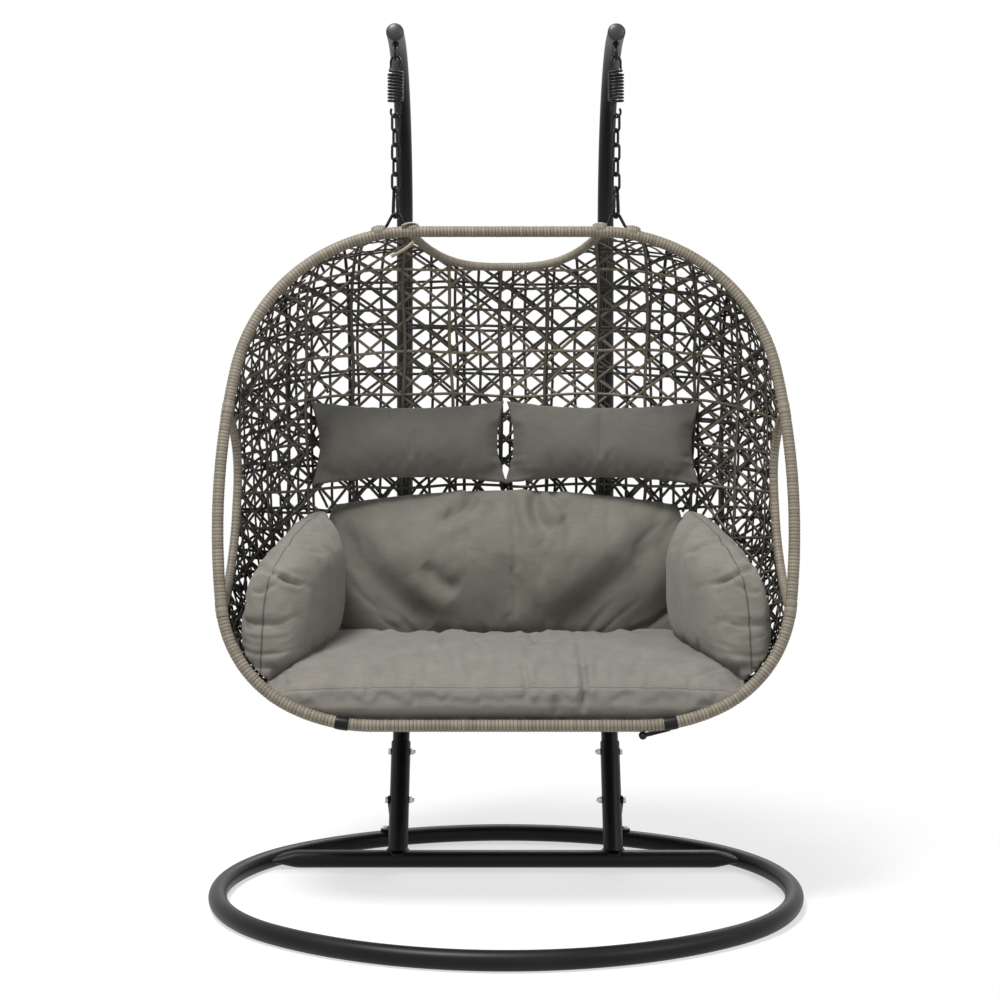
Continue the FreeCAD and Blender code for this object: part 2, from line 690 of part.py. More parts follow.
PLANE_UP = V(0, math.sin(math.radians(HOOP_LEAN)), math.cos(math.radians(HOOP_LEAN)))
PLANE_BACK = V(0, math.cos(math.radians(HOOP_LEAN)), -math.sin(math.radians(HOOP_LEAN)))
HOOP_TOP = V(0, HANG_Y, HOOP_TOP_Z)
BEHIND_HOOP = (HOOP_TUBE / 2 + SEAT_GAP) / PLANE_UP.z


def hoop_sections():
    """The right half of the hoop's outline from the middle of its top: (length, function) pairs."""
    pieces = [(HOOP_TOP_HALF, lambda s: (s, 0.0, 0.0))]
    x, t, heading = HOOP_TOP_HALF, 0.0, 0.0
    for radius, degrees in HOOP_ARCS:
        cx = x - radius * math.sin(heading)
        ct = t - radius * math.cos(heading)

        def along(s, cx=cx, ct=ct, radius=radius, heading=heading):
            angle = heading + s / radius
            return cx + radius * math.sin(angle), ct + radius * math.cos(angle), angle

        turn = math.radians(degrees)
        pieces.append((radius * turn, along))
        x, t, heading = along(radius * turn)
    pieces.append((x, lambda s, x=x, t=t: (x - s, t, math.pi)))
    return pieces


HOOP_PIECES = hoop_sections()
HOOP_HALF_LENGTH = sum(length for length, _ in HOOP_PIECES)


def hoop_at(share):
    """The outline's x, its way up the plane and its heading at a share of half its length.

    Beyond a share of 1 it is the other side.
    """
    share = share % 2.0
    other_side = share > 1.0
    s = (2.0 - share if other_side else share) * HOOP_HALF_LENGTH
    for length, along in HOOP_PIECES:
        if s <= length + 1e-9:
            break
        s -= length
    x, t, heading = along(s)
    return (-x if other_side else x), t, (-heading if other_side else heading)


def hoop_share_at_x(x, lower):
    """The share of the half outline at which it reaches x, above or below its widest place."""
    low, high = (WIDEST_SHARE, 1.0) if lower else (0.0, WIDEST_SHARE)
    for _ in range(50):
        middle = (low + high) / 2
        if (hoop_at(middle)[0] > x) == lower:
            low = middle
        else:
            high = middle
    return (low + high) / 2


def widest_share():
    """The share of the half outline at which it is widest."""
    low, high = 0.0, 1.0
    for _ in range(50):
        middle = (low + high) / 2
        if hoop_at(middle)[2] < math.pi / 2:
            low = middle
        else:
            high = middle
    return (low + high) / 2


WIDEST_SHARE = widest_share()
WIDEST_T = hoop_at(WIDEST_SHARE)[1]


def hoop_point(share, inset=0.0):
    """A point on the hoop's centreline, or inset from it in its plane."""
    x, t, heading = hoop_at(share)
    side = -1 if share % 2.0 > 1.0 else 1
    x -= inset * math.sin(abs(heading)) * side
    t -= inset * math.cos(heading)
    return HOOP_TOP + V(x, 0, 0) + PLANE_UP * t


def weave_point(share, depth, inset=0.0, ahead=0.0):
    """A point on the woven bowl, from depth 0 at the hoop to 1 at the back; inset is towards the sitter."""
    start = hoop_point(share, inset)
    centre = HOOP_TOP + PLANE_UP * WIDEST_T
    reach = depth * WEAVE_REACH
    sideways = (1 - reach ** SIDE_POWER) ** (1 / SIDE_POWER)
    power = TOP_POWER if start.z > centre.z else SEAT_POWER
    upright = (1 - reach ** power) ** (1 / power)
    front_y = start.y + BEHIND_HOOP
    y = front_y + (BACK_Y - inset - front_y) * depth - ahead
    return V(start.x * sideways, y, centre.z + (start.z - centre.z) * upright)


def bowl(inset, ahead=0.0, mouth_inset=None):
    """The space inside the bowl's surface, closed flat at the hoop; ahead lengthens it forwards."""
    mouth = inset if mouth_inset is None else mouth_inset
    rows = [(0.0, ahead, mouth)] if ahead else []
    rows += [(depth, 0.0, inset if depth else mouth) for depth in WEAVE_DEPTHS]
    rings = []
    for depth, extra, inward in rows:
        rings.append([weave_point(2.0 * i / WEAVE_POINTS, depth, inward, extra) for i in range(WEAVE_POINTS)])
    return skinned(rings)


def hoop_shares():
    """The shares of the half outline at its stations: the ends of its runs, and steps along its arcs."""
    shares = [HOOP_TOP_HALF / HOOP_HALF_LENGTH]
    done = HOOP_TOP_HALF
    for radius, degrees in HOOP_ARCS:
        length = radius * math.radians(degrees)
        steps = max(round(degrees / HOOP_STEP), round(length / HOOP_RUN))
        shares += [(done + length * (i + 1) / steps) / HOOP_HALF_LENGTH for i in range(steps)]
        done += length
    return shares


def front_hoop(grow=0.0):
    """The closed hoop that the basket is woven from, its tube wrapped all round."""
    shares = hoop_shares()
    points = [hoop_point(share) for share in shares + [2.0 - share for share in reversed(shares)]]
    return bent_rod(points, HOOP_TUBE + 2 * grow, HOOP_SIDES, PLANE_BACK, True)


def arm_depth_at(z):
    """How far the arm opening reaches back from the hoop at a height, as a share of its deepest."""
    middle = (ARM_TOP_Z + ARM_BOTTOM_Z) / 2
    share = abs(z - middle) / ((ARM_TOP_Z - ARM_BOTTOM_Z) / 2)
    return max(0.0, 1 - share ** 2.4) ** (1 / 1.6)


def hoop_share_at_z(z):
    """The share of the half outline at a height, on the hoop's side."""
    low, high = 0.0, 1.0
    for _ in range(50):
        middle = (low + high) / 2
        if hoop_point(middle).z > z:
            low = middle
        else:
            high = middle
    return (low + high) / 2


def weave_point_at(y, z):
    """The bowl's point on the right side at a given y and z."""
    low, high = hoop_share_at_z(z + 60), hoop_share_at_z(z - 60)
    for _ in range(40):
        share = (low + high) / 2
        front_y = hoop_point(share).y + BEHIND_HOOP
        depth = (y - front_y) / (BACK_Y - front_y)
        point = weave_point(share, min(max(depth, 0.0), 1.0))
        if point.z > z:
            low = share
        else:
            high = share
    return V(point.x, y, z)


def arm_rim_side_points():
    """The arm rim's line seen from the side, as (y, z) pairs from its top to its bottom."""
    count = 11
    points = []
    for i in range(count):
        z = ARM_TOP_Z + (ARM_BOTTOM_Z - ARM_TOP_Z) * (1 - math.cos(math.pi * i / (count - 1))) / 2
        front_y = hoop_point(hoop_share_at_z(z)).y + BEHIND_HOOP + RIM_TUBE / 2 / PLANE_UP.z
        points.append((front_y + (ARM_DEPTH - RIM_TUBE) * arm_depth_at(z), z))
    return points


def arm_rim():
    """The wrapped rod round the arm opening, leaving the hoop above and meeting it below."""
    points = [weave_point_at(y, z) for y, z in arm_rim_side_points()]
    return bent_rod(points, RIM_TUBE, RIM_SIDES, V(1, 0, 0))


def arm_cut():
    """The opening that the arm rim edges, cut through both sides."""
    shift = RIM_TUBE / 2 + SEAT_GAP
    points = arm_rim_side_points()
    outline = []
    for i, (y, z) in enumerate(points):
        before, after = points[max(i - 1, 0)], points[min(i + 1, len(points) - 1)]
        run = unit(V(0, after[0] - before[0], after[1] - before[1]))
        outline.append(V(-2 * RING_HALF_WIDTH, y - run.z * shift, z + run.y * shift))
    reach = V(0, 2 * ARM_DEPTH, 0)
    face = polygon_face([outline[0] - reach] + outline + [outline[-1] - reach])
    return face.extrude(V(4 * RING_HALF_WIDTH, 0, 0))


def scoop_plan_points(grow=0.0):
    """The scoop rim's line seen from above, right half from the hoop to the middle."""
    front_y = HANG_Y + BEHIND_HOOP
    half = SCOOP_HALF + grow
    corner = V(half - SCOOP_CORNER_R, SCOOP_BACK_Y + grow - SCOOP_CORNER_R, 0)
    points = [V(half, front_y, 0)]
    return points + arc_points(corner, SCOOP_CORNER_R, V(1, 0, 0), V(0, 1, 0), 0, 90, 5)


def weave_top_at(x, y):
    """The height of the bowl's top over a point of its plan."""
    low, high = 0.0, WIDEST_SHARE
    for _ in range(40):
        share = (low + high) / 2
        front_y = hoop_point(share).y + BEHIND_HOOP
        depth = min(max((y - front_y) / (BACK_Y - front_y), 0.0), 1.0)
        point = weave_point(share, depth)
        if point.x < x:
            low = share
        else:
            high = share
    return point.z


def scoop_rim():
    """The wrapped rod round the dip behind the top bar."""
    right = [V(p.x, p.y, weave_top_at(p.x, p.y)) for p in scoop_plan_points()]
    left = [V(-p.x, p.y, p.z) for p in reversed(right)]
    return bent_rod(right + left, RIM_TUBE, RIM_SIDES, V(0, 0, 1))


def scoop_cut():
    """The opening between the top bar and the scoop rim, cut from above."""
    right = scoop_plan_points(RIM_TUBE / 2 + SEAT_GAP)
    right.insert(0, right[0] - V(0, 2 * RIM_TUBE, 0))
    outline = right + [V(-p.x, p.y, 0) for p in reversed(right)]
    tool = polygon_face(outline).extrude(V(0, 0, BACK_Y))
    tool.translate(V(0, 0, HOOP_TOP_Z - BACK_Y / 2))
    return tool


def grid_cuts():
    """The weave's openings as a plain grid: bars in front of the upright rods, and level ones between."""
    edges = [-x for x in reversed(RIB_X)] + [0.0] + list(RIB_X)
    tools = []
    for start, end in zip(edges, edges[1:]):
        for row in range(GRID_ROWS):
            width = end - start - GRID_BAR
            height = GRID_PITCH - GRID_BAR
            corner = V(start + GRID_BAR / 2, 0, GRID_LOW_Z + row * GRID_PITCH + GRID_BAR / 2)
            corners = [corner, corner + V(width, 0, 0), corner + V(width, 0, height),
                       corner + V(0, 0, height)]
            tools.append(polygon_face(corners).extrude(V(0, 2 * BACK_Y, 0)))
    return tools


def basket_weave():
    """The woven bowl as one open shell, with its arm openings, its top dip and its grid of openings."""
    shell = bowl(-WEAVE_WALL / 2).cut(bowl(WEAVE_WALL / 2, BOWL_AHEAD))
    return shell.cut([arm_cut(), scoop_cut()] + grid_cuts())


def rib_points(x):
    """An upright rod's line behind the weave, from its top edge down and under the seat to the front rail."""
    cut = bowl(-(WEAVE_WALL + RIB_ROD) / 2 - RIB_CLEAR).slice(V(1, 0, 0), x)[0]
    points = [vertex.Point for vertex in cut.OrderedVertexes]
    mouth = [i for i, p in enumerate(points) if p.y < hoop_y_at(p.z) + 2 * BEHIND_HOOP - HOOP_TUBE / 2]
    top = max(mouth, key=lambda i: points[i].z)
    points = points[top:] + points[:top]
    if points[1].z < points[-1].z:
        points = [points[0]] + points[:0:-1]
    low = min(i for i, p in enumerate(points) if i and p.y < hoop_y_at(p.z) + 2 * BEHIND_HOOP - HOOP_TUBE / 2)
    points = points[:low + 1]
    if x < SCOOP_HALF:
        edge = SCOOP_BACK_Y + (RIM_TUBE + RIB_ROD) / 2
        while points[1].y < edge:
            points.pop(0)
        share = (edge - points[0].y) / (points[1].y - points[0].y)
        points[0] = points[0] + (points[1] - points[0]) * max(share, 0.0)
    points = thinned(points)
    points[0] = points[0] + unit(points[1] - points[0]) * RIB_END_GAP
    points[-1] = points[-1] + unit(points[-2] - points[-1]) * RIB_END_GAP
    return points


def hoop_y_at(z):
    """The y of the hoop's plane at a height."""
    return HANG_Y + (z - HOOP_TOP_Z) * math.tan(math.radians(HOOP_LEAN))


def thinned(points):
    """The line without the points that lie on it anyway."""
    start, end = points[0], points[-1]
    along = unit(end - start)
    offsets = [(point - start - along * (point - start).dot(along)).Length for point in points]
    farthest = max(range(len(points)), key=lambda i: offsets[i])
    if offsets[farthest] < RIB_SLACK:
        return [start, end]
    return thinned(points[:farthest + 1])[:-1] + thinned(points[farthest:])


def rib(x):
    """One upright steel rod behind the weave."""
    return bent_rod(rib_points(x), RIB_ROD, RIB_SIDES, V(1, 0, 0))


def basket_ribs():
    """All the upright rods, clear of the rims."""
    rods = []
    for x in RIB_X:
        rod = rib(x)
        rods += [rod, mirrored(rod)]
    return Part.makeCompound(rods)


def corner_bend(before, corner, after, radius, steps):
    """Points that round a corner with an arc."""
    into, out = unit(corner - before), unit(after - corner)
    half = into.getAngle(out) / 2
    start = corner - into * (radius * math.tan(half))
    side = unit(out - into * out.dot(into))
    return arc_points(start + side * radius, radius, side * -1, into, 0, math.degrees(2 * half), steps)


def staple():
    """The bent rod that the carabiner holds, its feet laid on the hoop."""
    seat = (HOOP_TUBE + STAPLE_ROD) / 2
    feet = []
    toe = STAPLE_LEG_SPREAD + STAPLE_FOOT
    for away in (-toe, -STAPLE_LEG_SPREAD, STAPLE_LEG_SPREAD, toe):
        feet.append(hoop_point(hoop_share_at_x(POST_X + away, False), -seat))
    apex = V(POST_X, HANG_Y, STAPLE_APEX_Z)
    right = unit(feet[2] - feet[1])
    up = unit(apex - feet[1] - right * (apex - feet[1]).dot(right))
    centre = apex - up * (STAPLE_BEND_R * math.cos(math.radians(90 / STAPLE_STEPS)))
    reach = feet[2] - centre
    lean = math.degrees(math.atan2(reach.dot(up), reach.dot(right)) + math.acos(STAPLE_BEND_R / reach.Length))
    crown = arc_points(centre, STAPLE_BEND_R, right, up, 180 - lean, lean, STAPLE_STEPS)
    points = [feet[0]] + corner_bend(feet[0], feet[1], crown[0], STAPLE_FOOT_R, 3) + crown
    points += corner_bend(crown[-1], feet[2], feet[3], STAPLE_FOOT_R, 3) + [feet[3]]
    return bent_rod(points, STAPLE_ROD, ROD_SIDES, PLANE_BACK)


def rail_collar(hoop):
    """The black band round the front rail, open behind where the weave starts."""
    half = COLLAR_LENGTH / 2
    points = [hoop_point(hoop_share_at_x(COLLAR_X + x, True)) for x in (-half, 0, half)]
    band = bent_rod(points, HOOP_TUBE + 2 * COLLAR_WALL, HOOP_SIDES, PLANE_BACK)
    size = 2 * COLLAR_LENGTH
    behind = prism(points[1] + PLANE_BACK * (HOOP_TUBE / 2), PLANE_BACK, size, size, 4, PLANE_UP)
    return band.cut([hoop, behind])


def ear_bolt_place():
    """The middle of the clamp bolt under the front rail."""
    return hoop_point(1.0) + V(COLLAR_X - EAR_LENGTH, 0, -(HOOP_TUBE + EAR_HEIGHT) / 2 - EAR_DROP)


def eared_collar(hoop):
    """The right collar: the same band with a flat ear under the rail that points to the middle."""
    bolt = ear_bolt_place()
    rail = hoop_point(hoop_share_at_x(COLLAR_X, True))
    half = EAR_THICKNESS / 2
    end_r = EAR_HEIGHT / 2 - COLLAR_WALL
    low_z = rail.z - HOOP_TUBE / 2 - 2 * COLLAR_WALL
    outline = [V(bolt.x, bolt.y - half, bolt.z + end_r), V(COLLAR_X, bolt.y - half, low_z + 4 * COLLAR_WALL),
               V(COLLAR_X, bolt.y - half, low_z), V(bolt.x, bolt.y - half, bolt.z - end_r)]
    ear = polygon_face(outline).extrude(V(0, EAR_THICKNESS, 0))
    end = prism(bolt - V(0, half, 0), V(0, 1, 0), end_r, EAR_THICKNESS, DOME_SIDES)
    hole = bolt_bar(bolt - V(0, half, 0), V(0, 1, 0), EAR_THICKNESS, BOLT_HOLE_GAP)
    return rail_collar(hoop).fuse([ear.cut(hoop), end.cut(hoop)]).cut(hole)


def clamp_bolt():
    """The bolt through the right collar's ear, with its domed nut in front."""
    bolt = ear_bolt_place()
    half = V(0, EAR_THICKNESS / 2, 0)
    nut = cap_nut(bolt - half, V(0, -1, 0))
    return Part.makeCompound([hex_bolt(bolt + half, V(0, -1, 0), EAR_THICKNESS + NUT_HEIGHT), nut])


# Cushions

def arcs(ends, middles):
    """A closed ring of points along arcs: each runs from one end over its middle to the next end."""
    ring = []
    for i, middle in enumerate(middles):
        arc = Part.Arc(ends[i], middle, ends[(i + 1) % len(ends)])
        ring += arc.toShape().discretize(ARC_POINTS * 2 // len(ends) + 1)[:-1]
    return ring


def eased_rows(rows):
    """The rows with smoothly changing ones between them."""
    result = []
    for i in range(len(rows) - 1):
        before, after = rows[max(i - 1, 0)], rows[min(i + 2, len(rows) - 1)]
        for k in range(ROWS_BETWEEN):
            s = k / ROWS_BETWEEN
            row = []
            for a, b, c, d in zip(before, rows[i], rows[i + 1], after):
                bend = 2 * a - 5 * b + 4 * c - d + s * (3 * b - a - 3 * c + d)
                row.append(b + 0.5 * s * (c - a + s * bend))
            result.append(tuple(row))
    return result + [rows[-1]]


def cavity(inset):
    """The space inside the bowl and the hoop that a cushion may fill, set in from the weave's middle."""
    return bowl(inset + CUSHION_GAP, BOWL_AHEAD, HOOP_TUBE / 2 + CUSHION_GAP)


def seat_cushion():
    """The wide seat cushion, crowned on top and lying in the bowl."""
    rings = []
    for y, half_width, seam_z, crown_z in eased_rows(SEAT_SECTIONS):
        rings.append(arcs([V(-half_width, y, seam_z), V(half_width, y, seam_z)],
                          [V(0, y, crown_z), V(0, y, seam_z - SEAT_DEPTH)]))
    return skinned(rings).common(cavity(WEAVE_WALL / 2))


def back_cushion(seat):
    """The back cushion, crowned in front and leaning in the bowl's back."""
    rings = []
    for z, half_width, seam_y, crown_y in eased_rows(BACK_SECTIONS):
        rings.append(arcs([V(-half_width, seam_y, z), V(half_width, seam_y, z)],
                          [V(0, crown_y, z), V(0, seam_y + BACK_DEPTH, z)]))
    return skinned(rings).common(cavity(WEAVE_WALL / 2)).cut(seat)


def bolster_ring(y, share):
    """The side bolster's outline across the chair: a leaning oval of four arcs."""
    x, z = BOLSTER_CENTRE
    wide = BOLSTER_HALF_WIDTH * share
    high = BOLSTER_HALF_HEIGHT * share
    spots = [V(x + lean * BOLSTER_LEAN + out * wide, y, z + up * high) for lean, out, up in BOLSTER_OUTLINE]
    return arcs(spots[::2], spots[1::2])


def bolster(seat, back, side):
    """One side's bolster, filling the side of the bowl beside the seat and back cushions."""
    body = skinned([bolster_ring(y, share) for y, share in eased_rows(BOLSTER_SECTIONS)])
    if side < 0:
        body = mirrored(body)
    return body.common(cavity(RIM_TUBE / 2)).cut([seat, back])


def head_pillow():
    """The small head pillow: crowned both ways, its four sides drawn in between the corners."""
    rings = []
    for share in (-1.0, -0.85, -0.6, -0.2, 0.2, 0.6, 0.85, 1.0):
        x = share * PILLOW_WIDTH / 2
        half_height = PILLOW_HEIGHT / 2 * (1 - PILLOW_DRAW * (1 - share ** 4))
        half_thick = PILLOW_THICKNESS / 2 * (PILLOW_EDGE + (1 - PILLOW_EDGE) * (1 - abs(share) ** 3))
        rings.append(arcs([V(x, 0, -half_height), V(x, 0, half_height)],
                          [V(x, -half_thick, 0), V(x, half_thick, 0)]))
    body = skinned(rings)
    body.rotate(V(0, 0, 0), V(1, 0, 0), -PILLOW_LEAN)
    body.rotate(V(0, 0, 0), V(0, 0, 1), -PILLOW_TURN)
    body.translate(V(PILLOW_CENTRE_X, PILLOW_CENTRE_Y, PILLOW_CENTRE_Z))
    return body


def export(name, shape):
    """Write one piece, or one group of like pieces."""
    shape.exportStep("parts/" + name + ".step")


def export_pair(name, shape):
    """Write a piece and its mirror image for the other side."""
    export("left_" + name, shape if shape.BoundBox.Center.x < 0 else mirrored(shape))
    export("right_" + name, shape if shape.BoundBox.Center.x > 0 else mirrored(shape))


def main():
    os.makedirs("parts", exist_ok=True)
    export("base_ring", base_ring())
    export("cross_bar", cross_bar())
    export_pair("sleeve", sleeve())
    export_pair("brace", brace())
    bolt = brace_bolt()
    export("brace_bolts", Part.makeCompound([bolt, mirrored(bolt)]))
    export_pair("post", post())
    export_pair("post_cap", post_cap())
    bolts = sleeve_bolts()
    export("sleeve_bolts", Part.makeCompound([bolts, mirrored(bolts)]))
    nuts = sleeve_nuts()
    export("sleeve_cap_nuts", Part.makeCompound([nuts, mirrored(nuts)]))
    export_pair("eye_bolt", eye_bolt())
    nuts = eye_nuts()
    export("eye_bolt_nuts", Part.makeCompound([nuts, mirrored(nuts)]))
    export_pair("spring", spring())
    for number in range(1, LINK_COUNT + 1):
        export_pair("link_" + str(number), link(number))
    export_pair("carabiner", carabiner())
    export_pair("carabiner_gate", carabiner_gate())
    export_pair("gate_pin", gate_pin())
    export("front_hoop", front_hoop())
    export("scoop_rim", scoop_rim())
    export_pair("arm_rim", arm_rim())
    export_pair("staple", staple())
    export("basket_weave", basket_weave())
    export("basket_ribs", basket_ribs())
    rail = front_hoop(COLLAR_GAP)
    export("left_rail_collar", mirrored(rail_collar(rail)))
    export("right_rail_collar", eared_collar(rail))
    export("right_clamp_bolt", clamp_bolt())
    seat = seat_cushion()
    back = back_cushion(seat)
    export("seat_cushion", seat)
    export("back_cushion", back)
    export("left_bolster", bolster(seat, back, -1))
    export("right_bolster", bolster(seat, back, 1))
    export_pair("head_pillow", head_pillow())


if __name__ == "__main__":
    main()
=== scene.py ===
"""Looks of a two-seat hanging egg chair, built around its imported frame.

Metres. +X is to the right as seen from the front, +Y points back, +Z is up.
The stand, the hangers, the wrapped basket frame, the open weave and the cushions are a class each.
"""

import json
import logging
import math
from collections.abc import Callable
from dataclasses import dataclass
from enum import Enum

import bmesh
import bpy
import numpy as np
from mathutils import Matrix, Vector
from mathutils.bvhtree import BVHTree

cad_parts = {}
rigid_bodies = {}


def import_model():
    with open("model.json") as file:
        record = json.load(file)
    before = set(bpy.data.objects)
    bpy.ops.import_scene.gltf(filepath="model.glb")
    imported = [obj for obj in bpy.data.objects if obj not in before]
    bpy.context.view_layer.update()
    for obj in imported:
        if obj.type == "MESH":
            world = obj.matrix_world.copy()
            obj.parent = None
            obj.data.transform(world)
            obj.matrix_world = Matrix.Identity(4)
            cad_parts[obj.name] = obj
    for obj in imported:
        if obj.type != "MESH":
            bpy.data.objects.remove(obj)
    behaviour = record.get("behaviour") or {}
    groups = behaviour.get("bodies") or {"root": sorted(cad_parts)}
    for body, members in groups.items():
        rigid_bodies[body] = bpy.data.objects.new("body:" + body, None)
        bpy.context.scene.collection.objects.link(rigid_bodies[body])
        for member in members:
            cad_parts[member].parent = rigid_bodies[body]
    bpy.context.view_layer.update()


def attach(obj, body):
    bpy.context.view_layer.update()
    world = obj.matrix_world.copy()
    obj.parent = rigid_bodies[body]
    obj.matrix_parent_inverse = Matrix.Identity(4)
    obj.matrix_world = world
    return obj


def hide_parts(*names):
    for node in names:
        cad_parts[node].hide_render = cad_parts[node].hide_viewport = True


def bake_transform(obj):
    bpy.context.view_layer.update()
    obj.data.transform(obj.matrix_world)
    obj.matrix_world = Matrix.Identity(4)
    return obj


LOG = logging.getLogger("egg_chair")
SEED = 7
CREASE = math.radians(34)
EASED = 0.0004
STAPLE_RISE = 0.0403
Point = np.ndarray
Colour = tuple[float, float, float, float]
Mesh, Material, Object, Socket = bpy.types.Mesh, bpy.types.Material, bpy.types.Object, bpy.types.NodeSocket


class Side(Enum):
    """The two sides of the chair, as seen from the front."""

    LEFT = -1
    RIGHT = 1

    @property
    def word(self) -> str:
        """The side's name as the bodies and nodes have it."""
        return self.name.lower()


def vec(x: float, y: float, z: float) -> Point:
    """A point or direction."""
    return np.array((x, y, z), dtype=float)


X_WAY, Y_WAY, Z_WAY = vec(1, 0, 0), vec(0, 1, 0), vec(0, 0, 1)


def unit(v: Point) -> Point:
    """The vector at length 1."""
    return v / np.linalg.norm(v)


def off(way: Point) -> Point:
    """An axis that is well off a direction."""
    return Z_WAY if abs(way[2]) < 0.9 else X_WAY


def circle(across: Point, up: Point, sides: int) -> Point:
    """Evenly spaced points round the origin, from across towards up."""
    angles = np.linspace(0.0, math.tau, sides, endpoint=False)[:, None]
    return np.cos(angles) * across + np.sin(angles) * up


def arc(centre: Point, radius: float, across: Point, up: Point, start: float, end: float, steps: int) -> Point:
    """Points on an arc.

    Args:
        centre: The arc's centre.
        radius: Its radius.
        across: The direction of angle 0.
        up: The direction of angle 90.
        start: First angle in degrees.
        end: Last angle in degrees.
        steps: How many steps lie between them.

    Returns:
        One row for each point.
    """
    angles = np.radians(np.linspace(start, end, steps + 1))[:, None]
    return centre + radius * (np.cos(angles) * across + np.sin(angles) * up)


def marks_along(points: Point) -> Point:
    """How far along the line each of its points lies."""
    return np.concatenate([[0.0], np.cumsum(np.linalg.norm(np.diff(points, axis=0), axis=1))])


def evenly(points: Point, count: int) -> Point:
    """That many points at equal steps along the line.

    Args:
        points: The line.
        count: How many points to lay.

    Returns:
        One row for each point.
    """
    lengths = marks_along(points)
    marks = np.linspace(0.0, lengths[-1], count)
    return np.stack([np.interp(marks, lengths, points[:, k]) for k in range(3)], axis=1)


def resampled(points: Point, step: float) -> Point:
    """The line's points at about equal steps."""
    return evenly(points, max(2, int(round(marks_along(points)[-1] / step)) + 1))


def smoothed(points: Point, per_span: int) -> Point:
    """A smooth curve through the points, with per_span points on each span.

    Args:
        points: What the curve goes through.
        per_span: Points on each span.

    Returns:
        One row for each point.
    """
    padded = np.vstack([2 * points[0] - points[1], points, 2 * points[-1] - points[-2]])
    rows = []
    for a, b, c, d in zip(padded, padded[1:], padded[2:], padded[3:]):
        for s in np.linspace(0.0, 1.0, per_span, endpoint=False):
            rows.append(b + 0.5 * s * (c - a + s * (2 * a - 5 * b + 4 * c - d + s * (3 * b - a - 3 * c + d))))
    return np.array(rows + [points[-1]])


class Shape:
    """Vertices and faces gathered for one piece."""

    def __init__(self) -> None:
        """Starts with nothing in it."""
        self.verts: list[Point] = []
        self.faces: list[list[int]] = []

    def add(self, verts: Point, faces: list[list[int]]) -> "Shape":
        """Adds vertices and the faces between them.

        Args:
            verts: The new vertices.
            faces: Their faces, numbered from 0.

        Returns:
            The shape itself.
        """
        offset = sum(len(v) for v in self.verts)
        self.verts.append(np.asarray(verts, float))
        self.faces += [[i + offset for i in face] for face in faces]
        return self

    def rings(self, rings: list[Point], closed: bool = False) -> "Shape":
        """Adds the skin through rings of as many points each; open ones get end faces.

        Args:
            rings: The rings, in order.
            closed: Whether the last joins the first.

        Returns:
            The shape itself.
        """
        sides = len(rings[0])
        count = len(rings)
        faces = []
        for r in range(count if closed else count - 1):
            after = (r + 1) % count
            for k in range(sides):
                m = (k + 1) % sides
                faces.append([r * sides + k, r * sides + m, after * sides + m, after * sides + k])
        if not closed:
            faces.append(list(range(sides))[::-1])
            faces.append([(count - 1) * sides + k for k in range(sides)])
        return self.add(np.vstack(rings), faces)

    def tube(self, points: Point, radius: float | Point, sides: int = 20, closed: bool = False,
             aside: Point | None = None) -> "Shape":
        """Adds a round bar along points.

        Args:
            points: Its centreline.
            radius: Its radius, or one for each point.
            sides: Points round it.
            closed: Whether the line is a loop.
            aside: A direction that the first ring starts from.

        Returns:
            The shape itself.
        """
        if closed:
            tangents = np.roll(points, -1, axis=0) - np.roll(points, 1, axis=0)
        else:
            tangents = np.gradient(points, axis=0)
        tangents /= np.linalg.norm(tangents, axis=1)[:, None]
        across = off(tangents[0]) if aside is None else aside
        rings = []
        for point, tangent, size in zip(points, tangents, np.broadcast_to(radius, len(points))):
            across = unit(across - tangent * across.dot(tangent))
            rings.append(point + size * circle(across, np.cross(tangent, across), sides))
        return self.rings(rings, closed)

    def turned(self, start: Point, axis: Point, profile: list[tuple[float, float]], sides: int = 28) -> "Shape":
        """Adds a turned body.

        Args:
            start: Where its axis begins.
            axis: The way it points.
            profile: Its (radius, height) pairs along the axis.
            sides: Points round it.

        Returns:
            The shape itself.
        """
        axis = unit(axis)
        across = unit(np.cross(axis, off(axis)))
        ring = circle(across, np.cross(axis, across), sides)
        return self.rings([start + axis * height + radius * ring for radius, height in profile])

    def bar(self, outline: Point, way: Point, bevel: float = 0.0) -> "Shape":
        """Adds a flat plate: the outline pushed along way, its edges eased by bevel.

        Args:
            outline: Its corners.
            way: How far and which way it is pushed.
            bevel: The width of its eased edges.

        Returns:
            The shape itself.
        """
        middle = outline.mean(axis=0)
        inward = np.array([unit(middle - p) for p in outline]) * bevel
        ease = unit(way) * bevel
        rings = [outline + inward, outline + ease, outline + way - ease, outline + way + inward]
        return self.rings(rings if bevel else [outline, outline + way])

    def mirror(self) -> "Shape":
        """The shape on the other side of the chair's middle plane.

        Returns:
            The mirror image.
        """
        other = Shape()
        other.verts = [v * (-1, 1, 1) for v in self.verts]
        other.faces = [face[::-1] for face in self.faces]
        return other

    def on(self, side: Side) -> "Shape":
        """This shape for the right side, or its mirror image for the left."""
        return self if side is Side.RIGHT else self.mirror()

    def mesh(self, name: str) -> Mesh:
        """The gathered mesh, smooth but for its sharp edges.

        Args:
            name: The mesh's name.

        Returns:
            The mesh.
        """
        mesh = bpy.data.meshes.new(name)
        mesh.from_pydata(np.vstack(self.verts).tolist(), [], self.faces)
        mesh.validate()
        mesh.shade_smooth()
        mesh.set_sharp_from_angle(angle=CREASE)
        return mesh


@dataclass(frozen=True)
class Finish:
    """A material, and the record's slot that it belongs to."""

    material: Material
    slot: str


